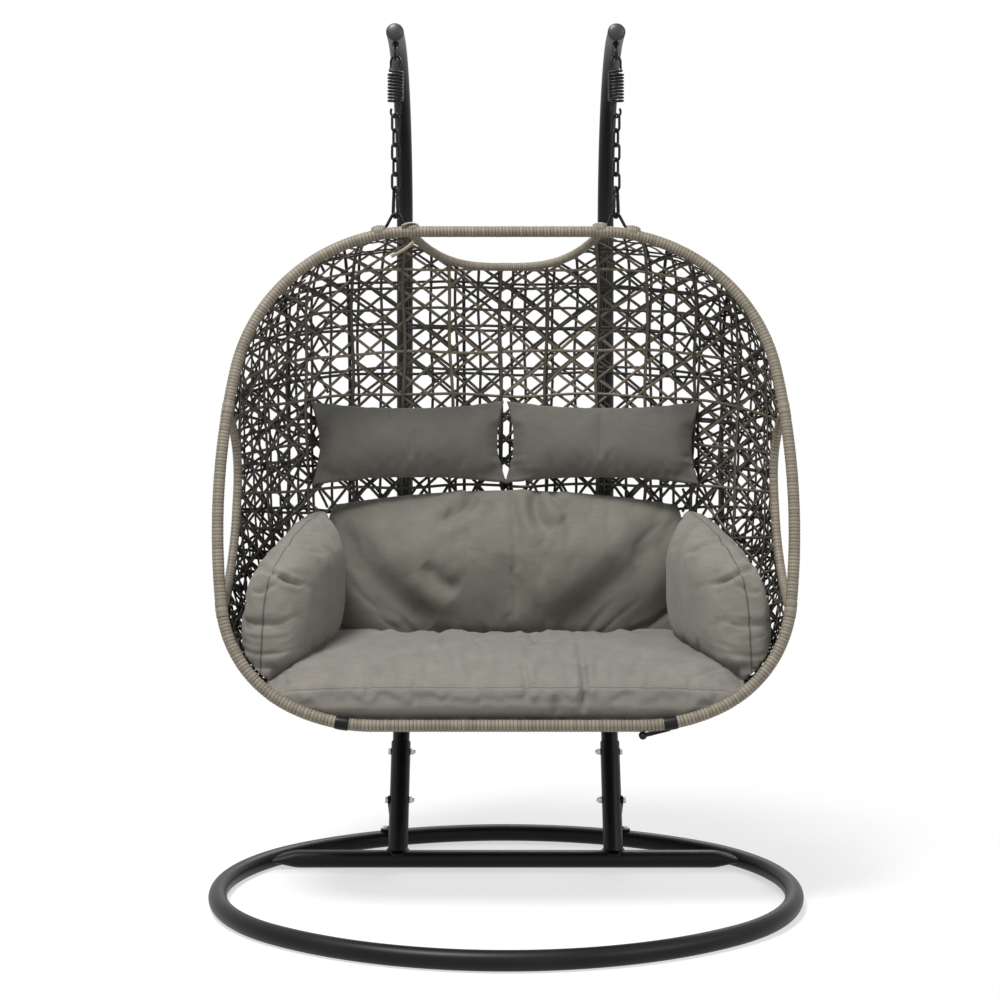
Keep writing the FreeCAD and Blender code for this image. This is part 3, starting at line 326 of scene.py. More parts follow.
def linked(name: str, data: bpy.types.ID) -> Object:
    """A new object in the scene.

    Args:
        name: The object's name.
        data: Its mesh, lamp or camera.

    Returns:
        The object.
    """
    obj = bpy.data.objects.new(name, data)
    bpy.context.scene.collection.objects.link(obj)
    return obj


def carry(mesh: Mesh, key: str, values: Point) -> None:
    """Gives the mesh's points a number each."""
    mesh.attributes.new(key, "FLOAT", "POINT").data.foreach_set("value", values.astype(np.float32))


def piece(name: str, form: Shape | Mesh, body: str | None, finish: Finish, *nodes: str) -> Object:
    """Makes a finished piece and ties it to its body.

    Args:
        name: The piece's name.
        form: Its shape or mesh, in the chair's frame.
        body: The body that it rides on, or None for a piece that is left without one.
        finish: Its finish.
        nodes: The solids that it stands for.

    Returns:
        The new object.
    """
    mesh = form.mesh(name) if isinstance(form, Shape) else form
    mesh.materials.clear()
    mesh.materials.append(finish.material)
    obj = linked(name, mesh)
    if body:
        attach(obj, body)
    if nodes:
        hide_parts(*nodes)
    LOG.info("%s: %d faces on %s", name, len(mesh.polygons), body)
    return obj


class Sum:
    """A shader socket that takes part in plain arithmetic."""

    def __init__(self, shader: "Shader", socket: Socket) -> None:
        """Keeps the shader and the socket."""
        self.shader = shader
        self.socket = socket

    def _math(self, operation: str, *values: "Sum | float") -> "Sum":
        """One Math node on these values."""
        return self.shader.node("ShaderNodeMath", {"operation": operation}, dict(enumerate(values)))

    def __add__(self, other: "Sum | float") -> "Sum":
        """Adds a value."""
        return self._math("ADD", self, other)

    def __sub__(self, other: "Sum | float") -> "Sum":
        """Takes a value off."""
        return self._math("SUBTRACT", self, other)

    def __rsub__(self, other: float) -> "Sum":
        """Takes this off a number."""
        return self._math("SUBTRACT", other, self)

    def __mul__(self, other: "Sum | float") -> "Sum":
        """Multiplies by a value."""
        return self._math("MULTIPLY", self, other)

    def __truediv__(self, other: "Sum | float") -> "Sum":
        """Divides by a value."""
        return self._math("DIVIDE", self, other)

    __radd__ = __add__
    __rmul__ = __mul__

    def sine(self) -> "Sum":
        """The sine of the value."""
        return self._math("SINE", self)

    def power(self, exponent: float) -> "Sum":
        """The value raised to a power."""
        return self._math("POWER", self, exponent)

    def size(self) -> "Sum":
        """The value without its sign."""
        return self._math("ABSOLUTE", self)

    def within(self, low: float, high: float) -> "Sum":
        """The value mapped so that low is 0 and high is 1, and held there."""
        settings = {"interpolation_type": "SMOOTHSTEP"}
        return self.shader.node("ShaderNodeMapRange", settings, {"Value": self, "From Min": low, "From Max": high})


class Shader:
    """Builds one material's nodes."""

    def __init__(self, name: str) -> None:
        """Starts a material with its usual surface."""
        self.material = bpy.data.materials.new(name)
        self.material.use_nodes = True
        self.tree = self.material.node_tree
        self.surface = self.tree.nodes["Principled BSDF"]

    def node(self, kind: str, settings: dict[str, object], values: dict[object, object],
             output: str | int = 0) -> Sum:
        """Adds a node.

        Args:
            kind: The node's type.
            settings: Its properties, set first.
            values: Its inputs by name or number, each a plain value or another node's output.
            output: The output that is returned.

        Returns:
            That output.
        """
        node = self.tree.nodes.new(kind)
        for key, value in settings.items():
            setattr(node, key, value)
        for key, value in values.items():
            self.set(node.inputs[key], value)
        return Sum(self, node.outputs[output])

    def set(self, socket: Socket, value: object) -> None:
        """Gives a socket a plain value or a link.

        Args:
            socket: The input.
            value: What it gets.
        """
        if isinstance(value, Sum):
            self.tree.links.new(value.socket, socket)
        else:
            socket.default_value = value

    def place(self) -> Sum:
        """The point in the piece's own frame."""
        return self.node("ShaderNodeTexCoord", {}, {}, "Object")

    def facing(self) -> Sum:
        """The surface's own direction in the piece's frame."""
        return self.node("ShaderNodeTexCoord", {}, {}, "Normal")

    def parts(self, vector: Sum) -> tuple[Sum, Sum, Sum]:
        """A vector's three numbers.

        Args:
            vector: The vector.

        Returns:
            Its x, y and z.
        """
        node = self.tree.nodes.new("ShaderNodeSeparateXYZ")
        self.tree.links.new(vector.socket, node.inputs[0])
        return tuple(Sum(self, out) for out in node.outputs)

    def joined(self, x: Sum | float, y: Sum | float, z: Sum | float) -> Sum:
        """A vector of three numbers."""
        return self.node("ShaderNodeCombineXYZ", {}, {0: x, 1: y, 2: z})

    def stored(self, name: str) -> Sum:
        """A number that the piece's mesh carries."""
        return self.node("ShaderNodeAttribute", {"attribute_name": name}, {}, "Fac")

    def cloud(self, vector: Sum, scale: float, detail: float = 3.0, roughness: float = 0.5) -> Sum:
        """Soft noise from 0 to 1."""
        values = {"Vector": vector, "Scale": scale, "Detail": detail, "Roughness": roughness}
        return self.node("ShaderNodeTexNoise", {}, values)

    def blend(self, factor: Sum | float, one: object, other: object) -> Sum:
        """A mix of two colours."""
        values = {0: factor, 6: one, 7: other}
        return self.node("ShaderNodeMix", {"data_type": "RGBA"}, values, 2)

    def bump(self, height: Sum, depth: float) -> None:
        """Gives the surface fine relief of that depth in metres."""
        bump = self.node("ShaderNodeBump", {}, {"Height": height, "Distance": depth, "Strength": 1.0})
        self.set(self.surface.inputs["Normal"], bump)

    def finish(self, **values: object) -> Material:
        """Sets the surface's sockets; an underscore in a key stands for a space.

        Args:
            values: The values, by socket.

        Returns:
            The material.
        """
        for key, value in values.items():
            self.set(self.surface.inputs[key.replace("_", " ")], value)
        return self.material


def rgb(red: float, green: float, blue: float) -> Colour:
    """A colour from 0-255 screen values, made linear."""
    return tuple([((c / 255 + 0.055) / 1.055) ** 2.4 if c > 10 else c / 3295 for c in (red, green, blue)] + [1.0])


@dataclass(frozen=True)
class PowderCoat:
    """Satin black powder coat on steel."""

    dark: Colour = rgb(9, 9, 10)
    worn: Colour = rgb(17, 17, 18)
    grain: float = 900.0

    def material(self, name: str) -> Material:
        """The finish as a material.

        Args:
            name: The material's name.

        Returns:
            The material.
        """
        shader = Shader(name)
        place = shader.place()
        broad = shader.cloud(place, 7.0)
        fine = shader.cloud(place, self.grain, 2.0)
        shader.bump(fine, 0.00006)
        return shader.finish(Base_Color=shader.blend(broad.within(0.35, 0.75), self.dark, self.worn),
                             Roughness=0.32 + fine * 0.1 + broad * 0.08, Specular_IOR_Level=0.2)


@dataclass(frozen=True)
class Zinc:
    """Bright zinc plating, a little cloudy."""

    bright: Colour = rgb(206, 205, 200)
    dull: Colour = rgb(150, 150, 146)

    def material(self, name: str) -> Material:
        """The finish as a material.

        Args:
            name: The material's name.

        Returns:
            The material.
        """
        shader = Shader(name)
        cloud = shader.cloud(shader.place(), 260.0, 4.0)
        return shader.finish(Base_Color=shader.blend(cloud.within(0.35, 0.7), self.bright, self.dull),
                             Metallic=1.0, Roughness=0.22 + cloud * 0.2)


@dataclass(frozen=True)
class Moulding:
    """Black moulded plastic or rubbery tape."""

    colour: Colour = rgb(24, 24, 25)
    shine: float = 0.38

    def material(self, name: str) -> Material:
        """The finish as a material.

        Args:
            name: The material's name.

        Returns:
            The material.
        """
        shader = Shader(name)
        fine = shader.cloud(shader.place(), 1400.0, 2.0)
        cloud = shader.cloud(shader.place(), 30.0)
        shader.bump(fine, 0.00004)
        lighter = tuple(min(1.0, c * 1.8) for c in self.colour[:3]) + (1.0,)
        return shader.finish(Base_Color=shader.blend(cloud.within(0.4, 0.8), self.colour, lighter),
                             Roughness=self.shine + fine * 0.12)


@dataclass(frozen=True)
class Wicker:
    """Flat resin wicker: a colour that varies from strand to strand, darkened as painted shade where its tone carries
    shade and in the grooves between turns, with fine grain along it.
    """

    light: Colour
    dark: Colour
    # deep is painted shade in the grooves between a wrap's turns.
    deep: Colour = rgb(40, 36, 31)
    around: float = 9.0
    groove: float = 0.0
    uneven: float = 0.6

    def material(self, name: str) -> Material:
        """The finish as a material.

        Args:
            name: The material's name.

        Returns:
            The material.
        """
        shader = Shader(name)
        tone = shader.stored("tone")
        along = shader.stored("along")
        around = shader.stored("around")
        grain = shader.cloud(shader.joined(along * 60.0, around * 40.0, tone * 90.0), 1.0, 4.0, 0.6)
        lines = ((around * (math.tau * self.around)).sine() * 0.5 + 0.5).power(8.0)
        # In the weave the tone holds painted shade as well as each strand's random tone.
        mixed = (tone * self.uneven + grain * 0.55 + (0.54 - self.uneven)).within(0.1, 0.95)
        colour = shader.blend(mixed, self.dark, self.light)
        colour = shader.blend(lines * self.groove, colour, self.dark)
        # Painted shade in the groove between the wrap's turns.
        colour = shader.blend(shader.stored("groove").within(0.25, 1.0) * 0.85, colour, self.deep)
        shader.bump(grain * 0.6 - lines * self.groove, 0.00022)
        return shader.finish(Base_Color=colour, Roughness=0.46 + grain * 0.2, Specular_IOR_Level=0.4)


@dataclass(frozen=True)
class Cloth:
    """Fine plain-woven polyester."""

    colour: Colour
    shade: Colour
    # thread is painted shade along the seam's groove.
    thread: Colour = rgb(52, 50, 46)
    pitch: float = 0.0034

    def material(self, name: str) -> Material:
        """The finish as a material.

        Args:
            name: The material's name.

        Returns:
            The material.
        """
        shader = Shader(name)
        place = shader.place()
        x, y, z = shader.parts(place)
        nx, ny, nz = (n.size().power(3.0) for n in shader.parts(shader.facing()))
        total = nx + ny + nz + 0.0001
        drift = shader.cloud(place, 5.0, 2.0) * 3.0
        turns = math.tau / self.pitch
        threads = []
        for u, v, weight in ((y, z, nx), (x, z, ny), (x, y, nz)):
            warp = (u * turns + drift).sine()
            weft = (v * turns + drift).sine()
            threads.append((warp * weft * 0.5 + 0.5) * weight)
        weave = (threads[0] + threads[1] + threads[2]) / total
        soft = shader.cloud(place, 18.0, 4.0, 0.6)
        slub = shader.cloud(shader.joined(x * 30.0, y * 30.0, z * 900.0), 1.0, 3.0)
        mixed = (weave * 0.5 + soft * 0.35 + slub * 0.3 - 0.08).within(0.15, 0.85)
        colour = shader.blend(mixed, self.shade, self.colour)
        # Painted shade along the seam.
        colour = shader.blend(shader.stored("seam").within(0.86, 1.0) * 0.75, colour, self.thread)
        shader.bump(weave + slub * 0.4, 0.00035)
        return shader.finish(Base_Color=colour, Roughness=0.82,
                             Sheen_Weight=0.12, Sheen_Roughness=0.45, Specular_IOR_Level=0.25)


class Finishes:
    """All the finishes, made once."""

    def __init__(self) -> None:
        """Makes each finish."""
        self.black = Finish(PowderCoat().material("satin_black_steel"), "black_steel")
        self.zinc = Finish(Zinc().material("bright_zinc"), "zinc")
        self.plug = Finish(Moulding().material("black_plug"), "black_plug")
        # The wrap's third colour is painted shade for its grooves.
        wrap = Wicker(rgb(128, 120, 105), rgb(84, 77, 66), rgb(38, 34, 30), 7.0, 0.3, 0.3)
        self.wrap = Finish(wrap.material("wrapped_wicker"), "wrapped_tube")
        self.loose_end = Finish(self.wrap.material, "weave")
        self.strand = Finish(Wicker(rgb(116, 107, 90), rgb(50, 46, 39)).material("woven_strand"), "weave")
        # The same wicker as the front strands, darkened as painted shade for the strands behind and at the sides.
        self.dark_strand = Finish(Wicker(rgb(58, 54, 47), rgb(22, 20, 18)).material("dark_strand"), "weave")
        # The seat, back and side cloths are one fabric in copies with painted light and shade: the seat and side cloths
        # lighter, the back cloth darker. The pillow cloth is darker again.
        self.seat = Finish(Cloth(rgb(131, 128, 121), rgb(97, 94, 88)).material("seat_cloth"), "seat_fabric")
        self.back = Finish(Cloth(rgb(120, 117, 108), rgb(84, 82, 75)).material("back_cloth"), "back_fabric")
        self.side = Finish(Cloth(rgb(132, 129, 120), rgb(94, 91, 84)).material("side_cloth"), "back_fabric")
        self.pillow = Finish(Cloth(rgb(104, 101, 95), rgb(76, 74, 69)).material("pillow_cloth"), "back_fabric")


class Tree:
    """Builds one geometry node tree with named inputs."""

    KINDS = {float: "NodeSocketFloat", int: "NodeSocketInt"}

    def __init__(self, name: str, sizes: dict[str, float | int]) -> None:
        """Starts the tree with its guide, its sizes and its finish as inputs."""
        self.tree = bpy.data.node_groups.new(name, "GeometryNodeTree")
        faces = self.tree.interface
        faces.new_socket("Guide", in_out="INPUT", socket_type="NodeSocketGeometry")
        self.ids = {}
        for key, value in sizes.items():
            socket = faces.new_socket(key, in_out="INPUT", socket_type=self.KINDS[type(value)])
            socket.default_value = value
            self.ids[key] = socket.identifier
        finish = faces.new_socket("Finish", in_out="INPUT", socket_type="NodeSocketMaterial")
        self.ids["Finish"] = finish.identifier
        faces.new_socket("Piece", in_out="OUTPUT", socket_type="NodeSocketGeometry")
        self.start = self.tree.nodes.new("NodeGroupInput")
        self.end = self.tree.nodes.new("NodeGroupOutput")

    def value(self, name: str) -> Socket:
        """One of the tree's own inputs."""
        return self.start.outputs[name]

    def carried(self, name: str, kind: str = "FLOAT_VECTOR") -> bpy.types.Node:
        """What the guide's points carry under a name."""
        return self.node("GeometryNodeInputNamedAttribute", {"data_type": kind}, {"Name": name})

    def run(self, output: str) -> Socket:
        """How far along its curve each point lies, as a Length or a Factor."""
        return self.node("GeometryNodeSplineParameter").outputs[output]

    def node(self, kind: str, settings: dict[str, object] | None = None,
             values: dict[object, object] | None = None) -> bpy.types.Node:
        """Adds a node with its settings and its inputs, each a plain value, a socket or a node's first output.

        Args:
            kind: The node's type.
            settings: Its properties, set first.
            values: Its inputs by name or number.

        Returns:
            The node.
        """
        node = self.tree.nodes.new(kind)
        for key, value in (settings or {}).items():
            setattr(node, key, value)
        for key, value in (values or {}).items():
            if isinstance(value, bpy.types.Node):
                value = value.outputs[0]
            if isinstance(value, Socket):
                self.tree.links.new(value, node.inputs[key])
            else:
                node.inputs[key].default_value = value
        return node

    def sum(self, operation: str, one: object, other: object = 0.0) -> bpy.types.Node:
        """A Math node."""
        return self.node("ShaderNodeMath", {"operation": operation}, {0: one, 1: other})

    def keep(self, geometry: object, name: str, value: object) -> bpy.types.Node:
        """Stores a number on the geometry's points."""
        values = {"Geometry": geometry, "Name": name, "Value": value}
        return self.node("GeometryNodeStoreNamedAttribute", {"data_type": "FLOAT", "domain": "POINT"}, values)

    def close(self, geometry: object) -> None:
        """Ends the tree: instances are made real and the finish is set.

        Args:
            geometry: What the tree has made.
        """
        real = self.node("GeometryNodeRealizeInstances", values={"Geometry": geometry})
        done = self.node("GeometryNodeSetMaterial", values={"Geometry": real, "Material": self.value("Finish")})
        self.tree.links.new(done.outputs[0], self.end.inputs[0])

    def mesh(self, name: str, guide: Mesh, finish: Finish, sizes: dict[str, float | int] | None = None) -> Mesh:
        """Runs the tree.

        Args:
            name: The new mesh's name.
            guide: The mesh that it runs on.
            finish: The result's finish.
            sizes: The inputs that differ from their usual values.

        Returns:
            The plain result.
        """
        obj = linked(name + "_guide", guide)
        modifier = obj.modifiers.new("tree", "NODES")
        modifier.node_group = self.tree
        modifier[self.ids["Finish"]] = finish.material
        for key, value in (sizes or {}).items():
            modifier[self.ids[key]] = value
        graph = bpy.context.evaluated_depsgraph_get()
        mesh = bpy.data.meshes.new_from_object(obj.evaluated_get(graph))
        mesh.name = name
        bpy.data.objects.remove(obj)
        return mesh


def guide_mesh(name: str, lines: list[Point], closed: bool = False,
               numbers: dict[str, list[Point]] | None = None,
               vectors: dict[str, list[Point]] | None = None) -> Mesh:
    """A mesh of edges only, one chain for each line.

    Args:
        name: The mesh's name.
        lines: Each chain's points.
        closed: Whether each chain is a loop.
        numbers: Numbers for the points, by name, one array for each line.
        vectors: Vectors for the points, in the same way.

    Returns:
        The new mesh.
    """
    edges = []
    offset = 0
    for line in lines:
        count = len(line)
        edges += [(offset + i, offset + i + 1) for i in range(count - 1)]
        if closed:
            edges.append((offset + count - 1, offset))
        offset += count
    mesh = bpy.data.meshes.new(name)
    mesh.from_pydata(np.vstack(lines).tolist(), edges, [])
    for key, rows in (numbers or {}).items():
        carry(mesh, key, np.concatenate(rows))
    for key, rows in (vectors or {}).items():
        store = mesh.attributes.new(key, "FLOAT_VECTOR", "POINT")
        store.data.foreach_set("vector", np.vstack(rows).astype(np.float32).ravel())
    return mesh


class WrapTree(Tree):
    """A tube wound all along with a flat strip, each turn a shallow ridge.

    The guide's points carry girth, a share of the radius, for a wrap that tapers.
    """

    RINGS_PER_TURN = 4

    def __init__(self) -> None:
        """Builds the tree."""
        super().__init__("wrapped_tube", {"Radius": 0.01275, "Pitch": 0.0078, "Groove": 0.0008, "Sides": 22,
                                          "Seed": SEED})
        girth = self.carried("girth", "FLOAT")
        step = self.sum("DIVIDE", self.value("Pitch"), float(self.RINGS_PER_TURN))
        line = self.node("GeometryNodeMeshToCurve", values={"Mesh": self.value("Guide")})
        line = self.node("GeometryNodeResampleCurve", {"mode": "LENGTH"}, {"Curve": line, "Length": step})
        index = self.node("GeometryNodeInputIndex")
        place = self.sum("MODULO", index, float(self.RINGS_PER_TURN))
        turn = self.sum("FLOOR", self.sum("DIVIDE", index, float(self.RINGS_PER_TURN)))
        seam = self.sum("LESS_THAN", place, 0.5)
        sunk = self.sum("MULTIPLY", seam, self.value("Groove"))
        uneven = self.node("FunctionNodeRandomValue", {"data_type": "FLOAT"},
                           {2: -0.00012, 3: 0.00012, "ID": turn, "Seed": self.value("Seed")})
        tone = self.node("FunctionNodeRandomValue", {"data_type": "FLOAT"}, {"ID": turn, "Seed": self.value("Seed")})
        full = self.sum("MULTIPLY", self.value("Radius"), girth)
        radius = self.sum("ADD", self.sum("SUBTRACT", full, sunk), uneven.outputs[1])
        line = self.keep(line, "tone", tone.outputs[1])
        # Marks the groove ring between turns, which the wicker material darkens as painted shade.
        line = self.keep(line, "groove", seam)
        line = self.keep(line, "along", self.run("Length"))
        ring = self.node("GeometryNodeCurvePrimitiveCircle", values={"Radius": 1.0, "Resolution": self.value("Sides")})
        ring = self.keep(ring, "around", self.run("Factor"))
        skin = self.node("GeometryNodeCurveToMesh",
                         values={"Curve": line, "Profile Curve": ring, "Scale": radius, "Fill Caps": True})
        smooth = self.node("GeometryNodeSetShadeSmooth", values={"Geometry": skin})
        self.close(smooth)


class StrandTree(Tree):
    """Flat strands along guide lines, lying on the surface whose direction the guides carry."""

    def __init__(self) -> None:
        """Builds the tree."""
        super().__init__("flat_strands", {"Width": 0.0055, "Thickness": 0.0013})
        outward = self.carried("outward")
        line = self.node("GeometryNodeMeshToCurve", values={"Mesh": self.value("Guide")})
        line = self.node("GeometryNodeSetCurveNormal", {"mode": "FREE"}, {"Curve": line, "Normal": outward})
        line = self.keep(line, "along", self.run("Length"))
        flat = self.node("GeometryNodeCurvePrimitiveQuadrilateral",
                         values={"Width": self.value("Thickness"), "Height": self.value("Width")})
        flat = self.keep(flat, "around", self.run("Factor"))
        skin = self.node("GeometryNodeCurveToMesh", values={"Curve": line, "Profile Curve": flat, "Fill Caps": True})
        self.close(skin)


class RowTree(Tree):
    """Copies of one small shape at guide points, each turned to the axes that its point carries."""

    def __init__(self, name: str, item: Mesh) -> None:
        """Builds the tree round its small shape."""
        super().__init__(name, {})
        info = self.node("GeometryNodeObjectInfo", values={"Object": bpy.data.objects.new(name + "_item", item)})
        turn = self.node("FunctionNodeAxesToRotation", {"primary_axis": "Z", "secondary_axis": "X"},
                         {"Primary Axis": self.carried("axis"), "Secondary Axis": self.carried("aside")})
        points = self.node("GeometryNodeMeshToPoints", values={"Mesh": self.value("Guide")})
        row = self.node("GeometryNodeInstanceOnPoints",
                        values={"Points": points, "Instance": info.outputs["Geometry"], "Rotation": turn})
        self.close(row)

    def row(self, name: str, places: list[tuple[Point, Point, Point]], finish: Finish) -> Mesh:
        """Makes a row of copies.

        Args:
            name: The row's name.
            places: The (place, axis, aside) of each copy.
            finish: Their finish.

        Returns:
            All of them as one mesh.
        """
        spots, axes, asides = (np.array(rows) for rows in zip(*places))
        guide = guide_mesh(name + "_places", [spots[i:i + 1] for i in range(len(spots))],
                           vectors={"axis": [axes], "aside": [asides]})
        mesh = self.mesh(name, guide, finish)
        mesh.set_sharp_from_angle(angle=CREASE)
        return mesh


def hex_outline(across_flats: float) -> Point:
    """The six corners of a hexagon round the origin."""
    radius = across_flats / 2 / math.cos(math.pi / 6)
    return arc(vec(0, 0, 0), radius, X_WAY, Y_WAY, 0, 300, 5)


@dataclass
class Fasteners:
    """Bolt heads and nuts on their washers, small shapes that seat at the origin and point along +Z."""

    flats: float = 0.013
    chamfer: float = 0.93
    washer: float = 0.0085
    washer_height: float = 0.0012
    head: float = 0.0053
    nut: float = 0.0065
    thin: float = 0.0042
    dome: float = 0.0056

    def hexagon(self, height: float) -> Shape:
        """The chamfered hexagon on its washer.

        Args:
            height: The hexagon's height.

        Returns:
            The shape.
        """
        low, washer = self.washer_height, self.washer
        rim = [(washer - 0.0004, 0.0), (washer, 0.0003), (washer, low - 0.0003), (washer - 0.0004, low)]
        outline = hex_outline(self.flats)
        rings = [outline * self.chamfer + Z_WAY * low, outline + Z_WAY * (low + 0.0005),
                 outline + Z_WAY * (low + height - 0.0007), outline * self.chamfer + Z_WAY * (low + height)]
        return Shape().turned(vec(0, 0, 0), Z_WAY, rim, 24).rings(rings)

    def bolt_head(self) -> Mesh:
        """A hexagon head."""
        return self.hexagon(self.head).mesh("bolt_head")

    def thin_nut(self) -> Mesh:
        """A plain low nut."""
        return self.hexagon(self.thin).mesh("thin_nut")

    def cap_nut(self) -> Mesh:
        """A domed nut.

        Returns:
            Its mesh.
        """
        base = self.washer_height + self.nut - 0.0004
        dome = [(self.dome * math.cos(a), base + self.dome * math.sin(a)) for a in np.radians([0, 18, 36, 54, 72, 86])]
        return self.hexagon(self.nut).turned(vec(0, 0, 0), Z_WAY, dome, 24).mesh("cap_nut")


@dataclass
class Stand:
    """The oval base, the cross bar, the sleeves, the posts and what fastens them."""

    finishes: Finishes
    ring_y: float = -0.040
    half_width: float = 0.625
    half_depth: float = 0.500
    end_r: float = 0.430
    tube: float = 0.020
    sunk: float = 0.0006
    bar_y: float = 0.210
    post_x: float = 0.250
    post_r: float = 0.020
    sleeve_r: float = 0.023
    sleeve_length: float = 0.284
    bolts_at: tuple[float, float] = (0.141, 0.260)
    lean: float = math.radians(32.0)
    lower_r: float = 1.180
    upright: float = 0.606058
    upper_r: float = 0.419839
    upper_turn: float = 86.0
    tip_run: float = 0.054
    plate: float = 0.004
    tab: float = 0.010
    tab_reach: float = 0.012
    plugged: float = 0.2
    play: float = 0.0003
    lip: float = 0.0008
    sleeve_from: float = 0.012
    sleeve_seen: float = 0.05
    weld: float = 0.0032

    def __post_init__(self) -> None:
        """Works out the centres and directions that the sizes give."""
        self.end_x = self.half_width - self.end_r
        self.side_r = (self.end_x ** 2 + self.half_depth ** 2 - self.end_r ** 2) / (2 * (self.half_depth - self.end_r))
        self.foot = vec(self.post_x, self.bar_y, self.tube)
        self.axis = vec(0, math.sin(self.lean), math.cos(self.lean))
        bend = self.foot + self.axis * self.sleeve_length
        self.lower_centre = bend - vec(0, math.cos(self.lean), -math.sin(self.lean)) * self.lower_r
        self.upper_centre = self.lower_centre + vec(0, self.lower_r - self.upper_r, self.upright)
        turn = math.radians(self.upper_turn)
        self.normal = vec(0, math.cos(turn), math.sin(turn))
        self.heading = vec(0, -self.normal[2], self.normal[1])
        self.bend_end = self.upper_centre + self.normal * self.upper_r
        self.crossing = self.bend_end + self.heading * (self.tip_run / 2)
        self.tip = self.bend_end + self.heading * self.tip_run

    def oval(self, steps: int = 40) -> Point:
        """The base ring's centreline, four tangent arcs.

        Args:
            steps: Steps on each arc.

        Returns:
            One row for each point.
        """
        offset = self.side_r - self.half_depth
        meet = math.degrees(math.atan2(offset, self.end_x))
        middle = vec(0, self.ring_y, self.tube - self.sunk)
        ends = (X_WAY * self.end_x, self.end_r), (-Y_WAY * offset, self.side_r)
        parts = []
        for k, (start, end) in enumerate(((-meet, meet), (meet, 180 - meet), (180 - meet, 180 + meet),
                                          (180 + meet, 360 - meet))):
            away, radius = ends[k % 2]
            parts.append(arc(middle + (away if k < 2 else -away), radius, X_WAY, Y_WAY, start, end, steps)[:-1])
        return np.vstack(parts)

    def post_line(self) -> Point:
        """The post's centreline from inside the sleeve to its tip.

        Returns:
            One row for each point.
        """
        start = self.foot + self.axis * (self.sleeve_length - self.plugged)
        lower = arc(self.lower_centre, self.lower_r, Y_WAY, Z_WAY, -math.degrees(self.lean), 0, 24)
        upper = arc(self.upper_centre, self.upper_r, Y_WAY, Z_WAY, 0, self.upper_turn, 48)
        return np.vstack([start, lower, upper, self.tip])

    def ring(self) -> Shape:
        """The base ring, flat where it stands.

        Returns:
            Its shape.
        """
        shape = Shape().tube(self.oval(), self.tube, 36, closed=True)
        shape.verts[0][:, 2] = np.maximum(shape.verts[0][:, 2], 0.0)
        return shape

    def bar(self) -> Shape:
        """The cross bar, its ends pressed flat and lying into the ring.

        Returns:
            Its shape.
        """
        reach = self.end_x + math.sqrt(self.end_r ** 2 - (self.bar_y - self.ring_y) ** 2)
        flat_length, flat_high, flat_wide = 0.070, 0.008, 0.026
        rings = []
        for way in (-1, 1):
            for share in np.linspace(0.0, 1.0, 13)[::-way]:
                ease = share * share * (3 - 2 * share)
                high = flat_high + (self.tube - flat_high) * ease
                wide = flat_wide + (self.tube - flat_wide) * ease
                centre = vec(way * (reach - flat_length * share), self.bar_y, self.tube)
                rings.append(centre + circle(Y_WAY * wide, Z_WAY * high, 32))
        return Shape().rings(rings)

    def bead(self, shape: Shape, line: Point, radius: float) -> None:
        """Adds a slightly uneven weld bead along a closed line."""
        radii = [radius * (1.0 + 0.22 * math.sin(i * 1.9) + 0.12 * math.sin(i * 3.1)) for i in range(len(line))]
        shape.tube(line, np.array(radii), 8, closed=True)

    def sleeve(self) -> Shape:
        """The socket tube with its open lip and the weld round its foot.

        Returns:
            Its shape.
        """
        outer, inner, length, lip = self.sleeve_r, self.post_r + self.play, self.sleeve_length, self.lip
        profile = [(outer, self.sleeve_from), (outer, length - lip), (outer - lip, length),
                   (inner + 0.0005, length), (inner, length - 0.0006), (inner, length - self.sleeve_seen)]
        shape = Shape().turned(self.foot, self.axis, profile, 40)
        rows = []
        for side in circle(X_WAY, unit(np.cross(self.axis, X_WAY)), 60) * outer:
            low, high = 0.0, 0.06
            for _ in range(24):
                middle = (low + high) / 2
                spot = side + self.axis * middle
                inside = math.hypot(spot[1], spot[2]) < self.tube
                low, high = (middle, high) if inside else (low, middle)
            rows.append(self.foot + side + self.axis * low)
        self.bead(shape, np.array(rows), self.weld)
        return shape

    def cap(self) -> Shape:
        """The domed plug in the post's tip.

        Returns:
            Its shape.
        """
        wide = self.post_r + 0.0002
        profile = [(self.post_r - 0.0006, 0.0), (wide, 0.0006), (wide, 0.002)]
        profile += [(wide * math.cos(a), 0.002 + 0.0072 * math.sin(a)) for a in np.radians([18, 36, 54, 70, 84])]
        return Shape().turned(self.tip - self.heading * 0.0002, self.heading, profile, 36)

    def brace_foot(self) -> Point:
        """Where the brace's bolt enters the ring.

        Returns:
            The point on the ring's top.
        """
        x = self.post_x + self.sleeve_r + self.plate + self.tab_reach
        y = self.ring_y - self.side_r + self.half_depth + math.sqrt(self.side_r ** 2 - x ** 2)
        return vec(x, y, 2 * self.tube - self.sunk)

    def brace(self) -> Shape:
        """The flat strut from the sleeve's lower bolt to the ring, with its folded tab.

        Returns:
            Its shape, on the right.
        """
        x, half = self.post_x + self.sleeve_r, self.tab
        _, y, z = self.brace_foot()
        bolt = self.foot + self.axis * self.bolts_at[0]
        upper, lower = vec(x, bolt[1], bolt[2]), vec(x, y, z + half)
        along = unit(upper - lower)
        side = np.cross(along, X_WAY)
        outline = np.vstack([arc(upper, half, side, along, 0, 180, 12), arc(lower, half, -side, -along, 0, 180, 12)])
        corners = ((0, -half), (0, half), (0.024, half), (0.028, 0.006), (0.028, -0.006), (0.024, -half))
        tab = np.array([vec(x + out, y + along_y, z) for out, along_y in corners])
        return Shape().bar(outline, X_WAY * self.plate, EASED).bar(tab, Z_WAY * self.plate, EASED)

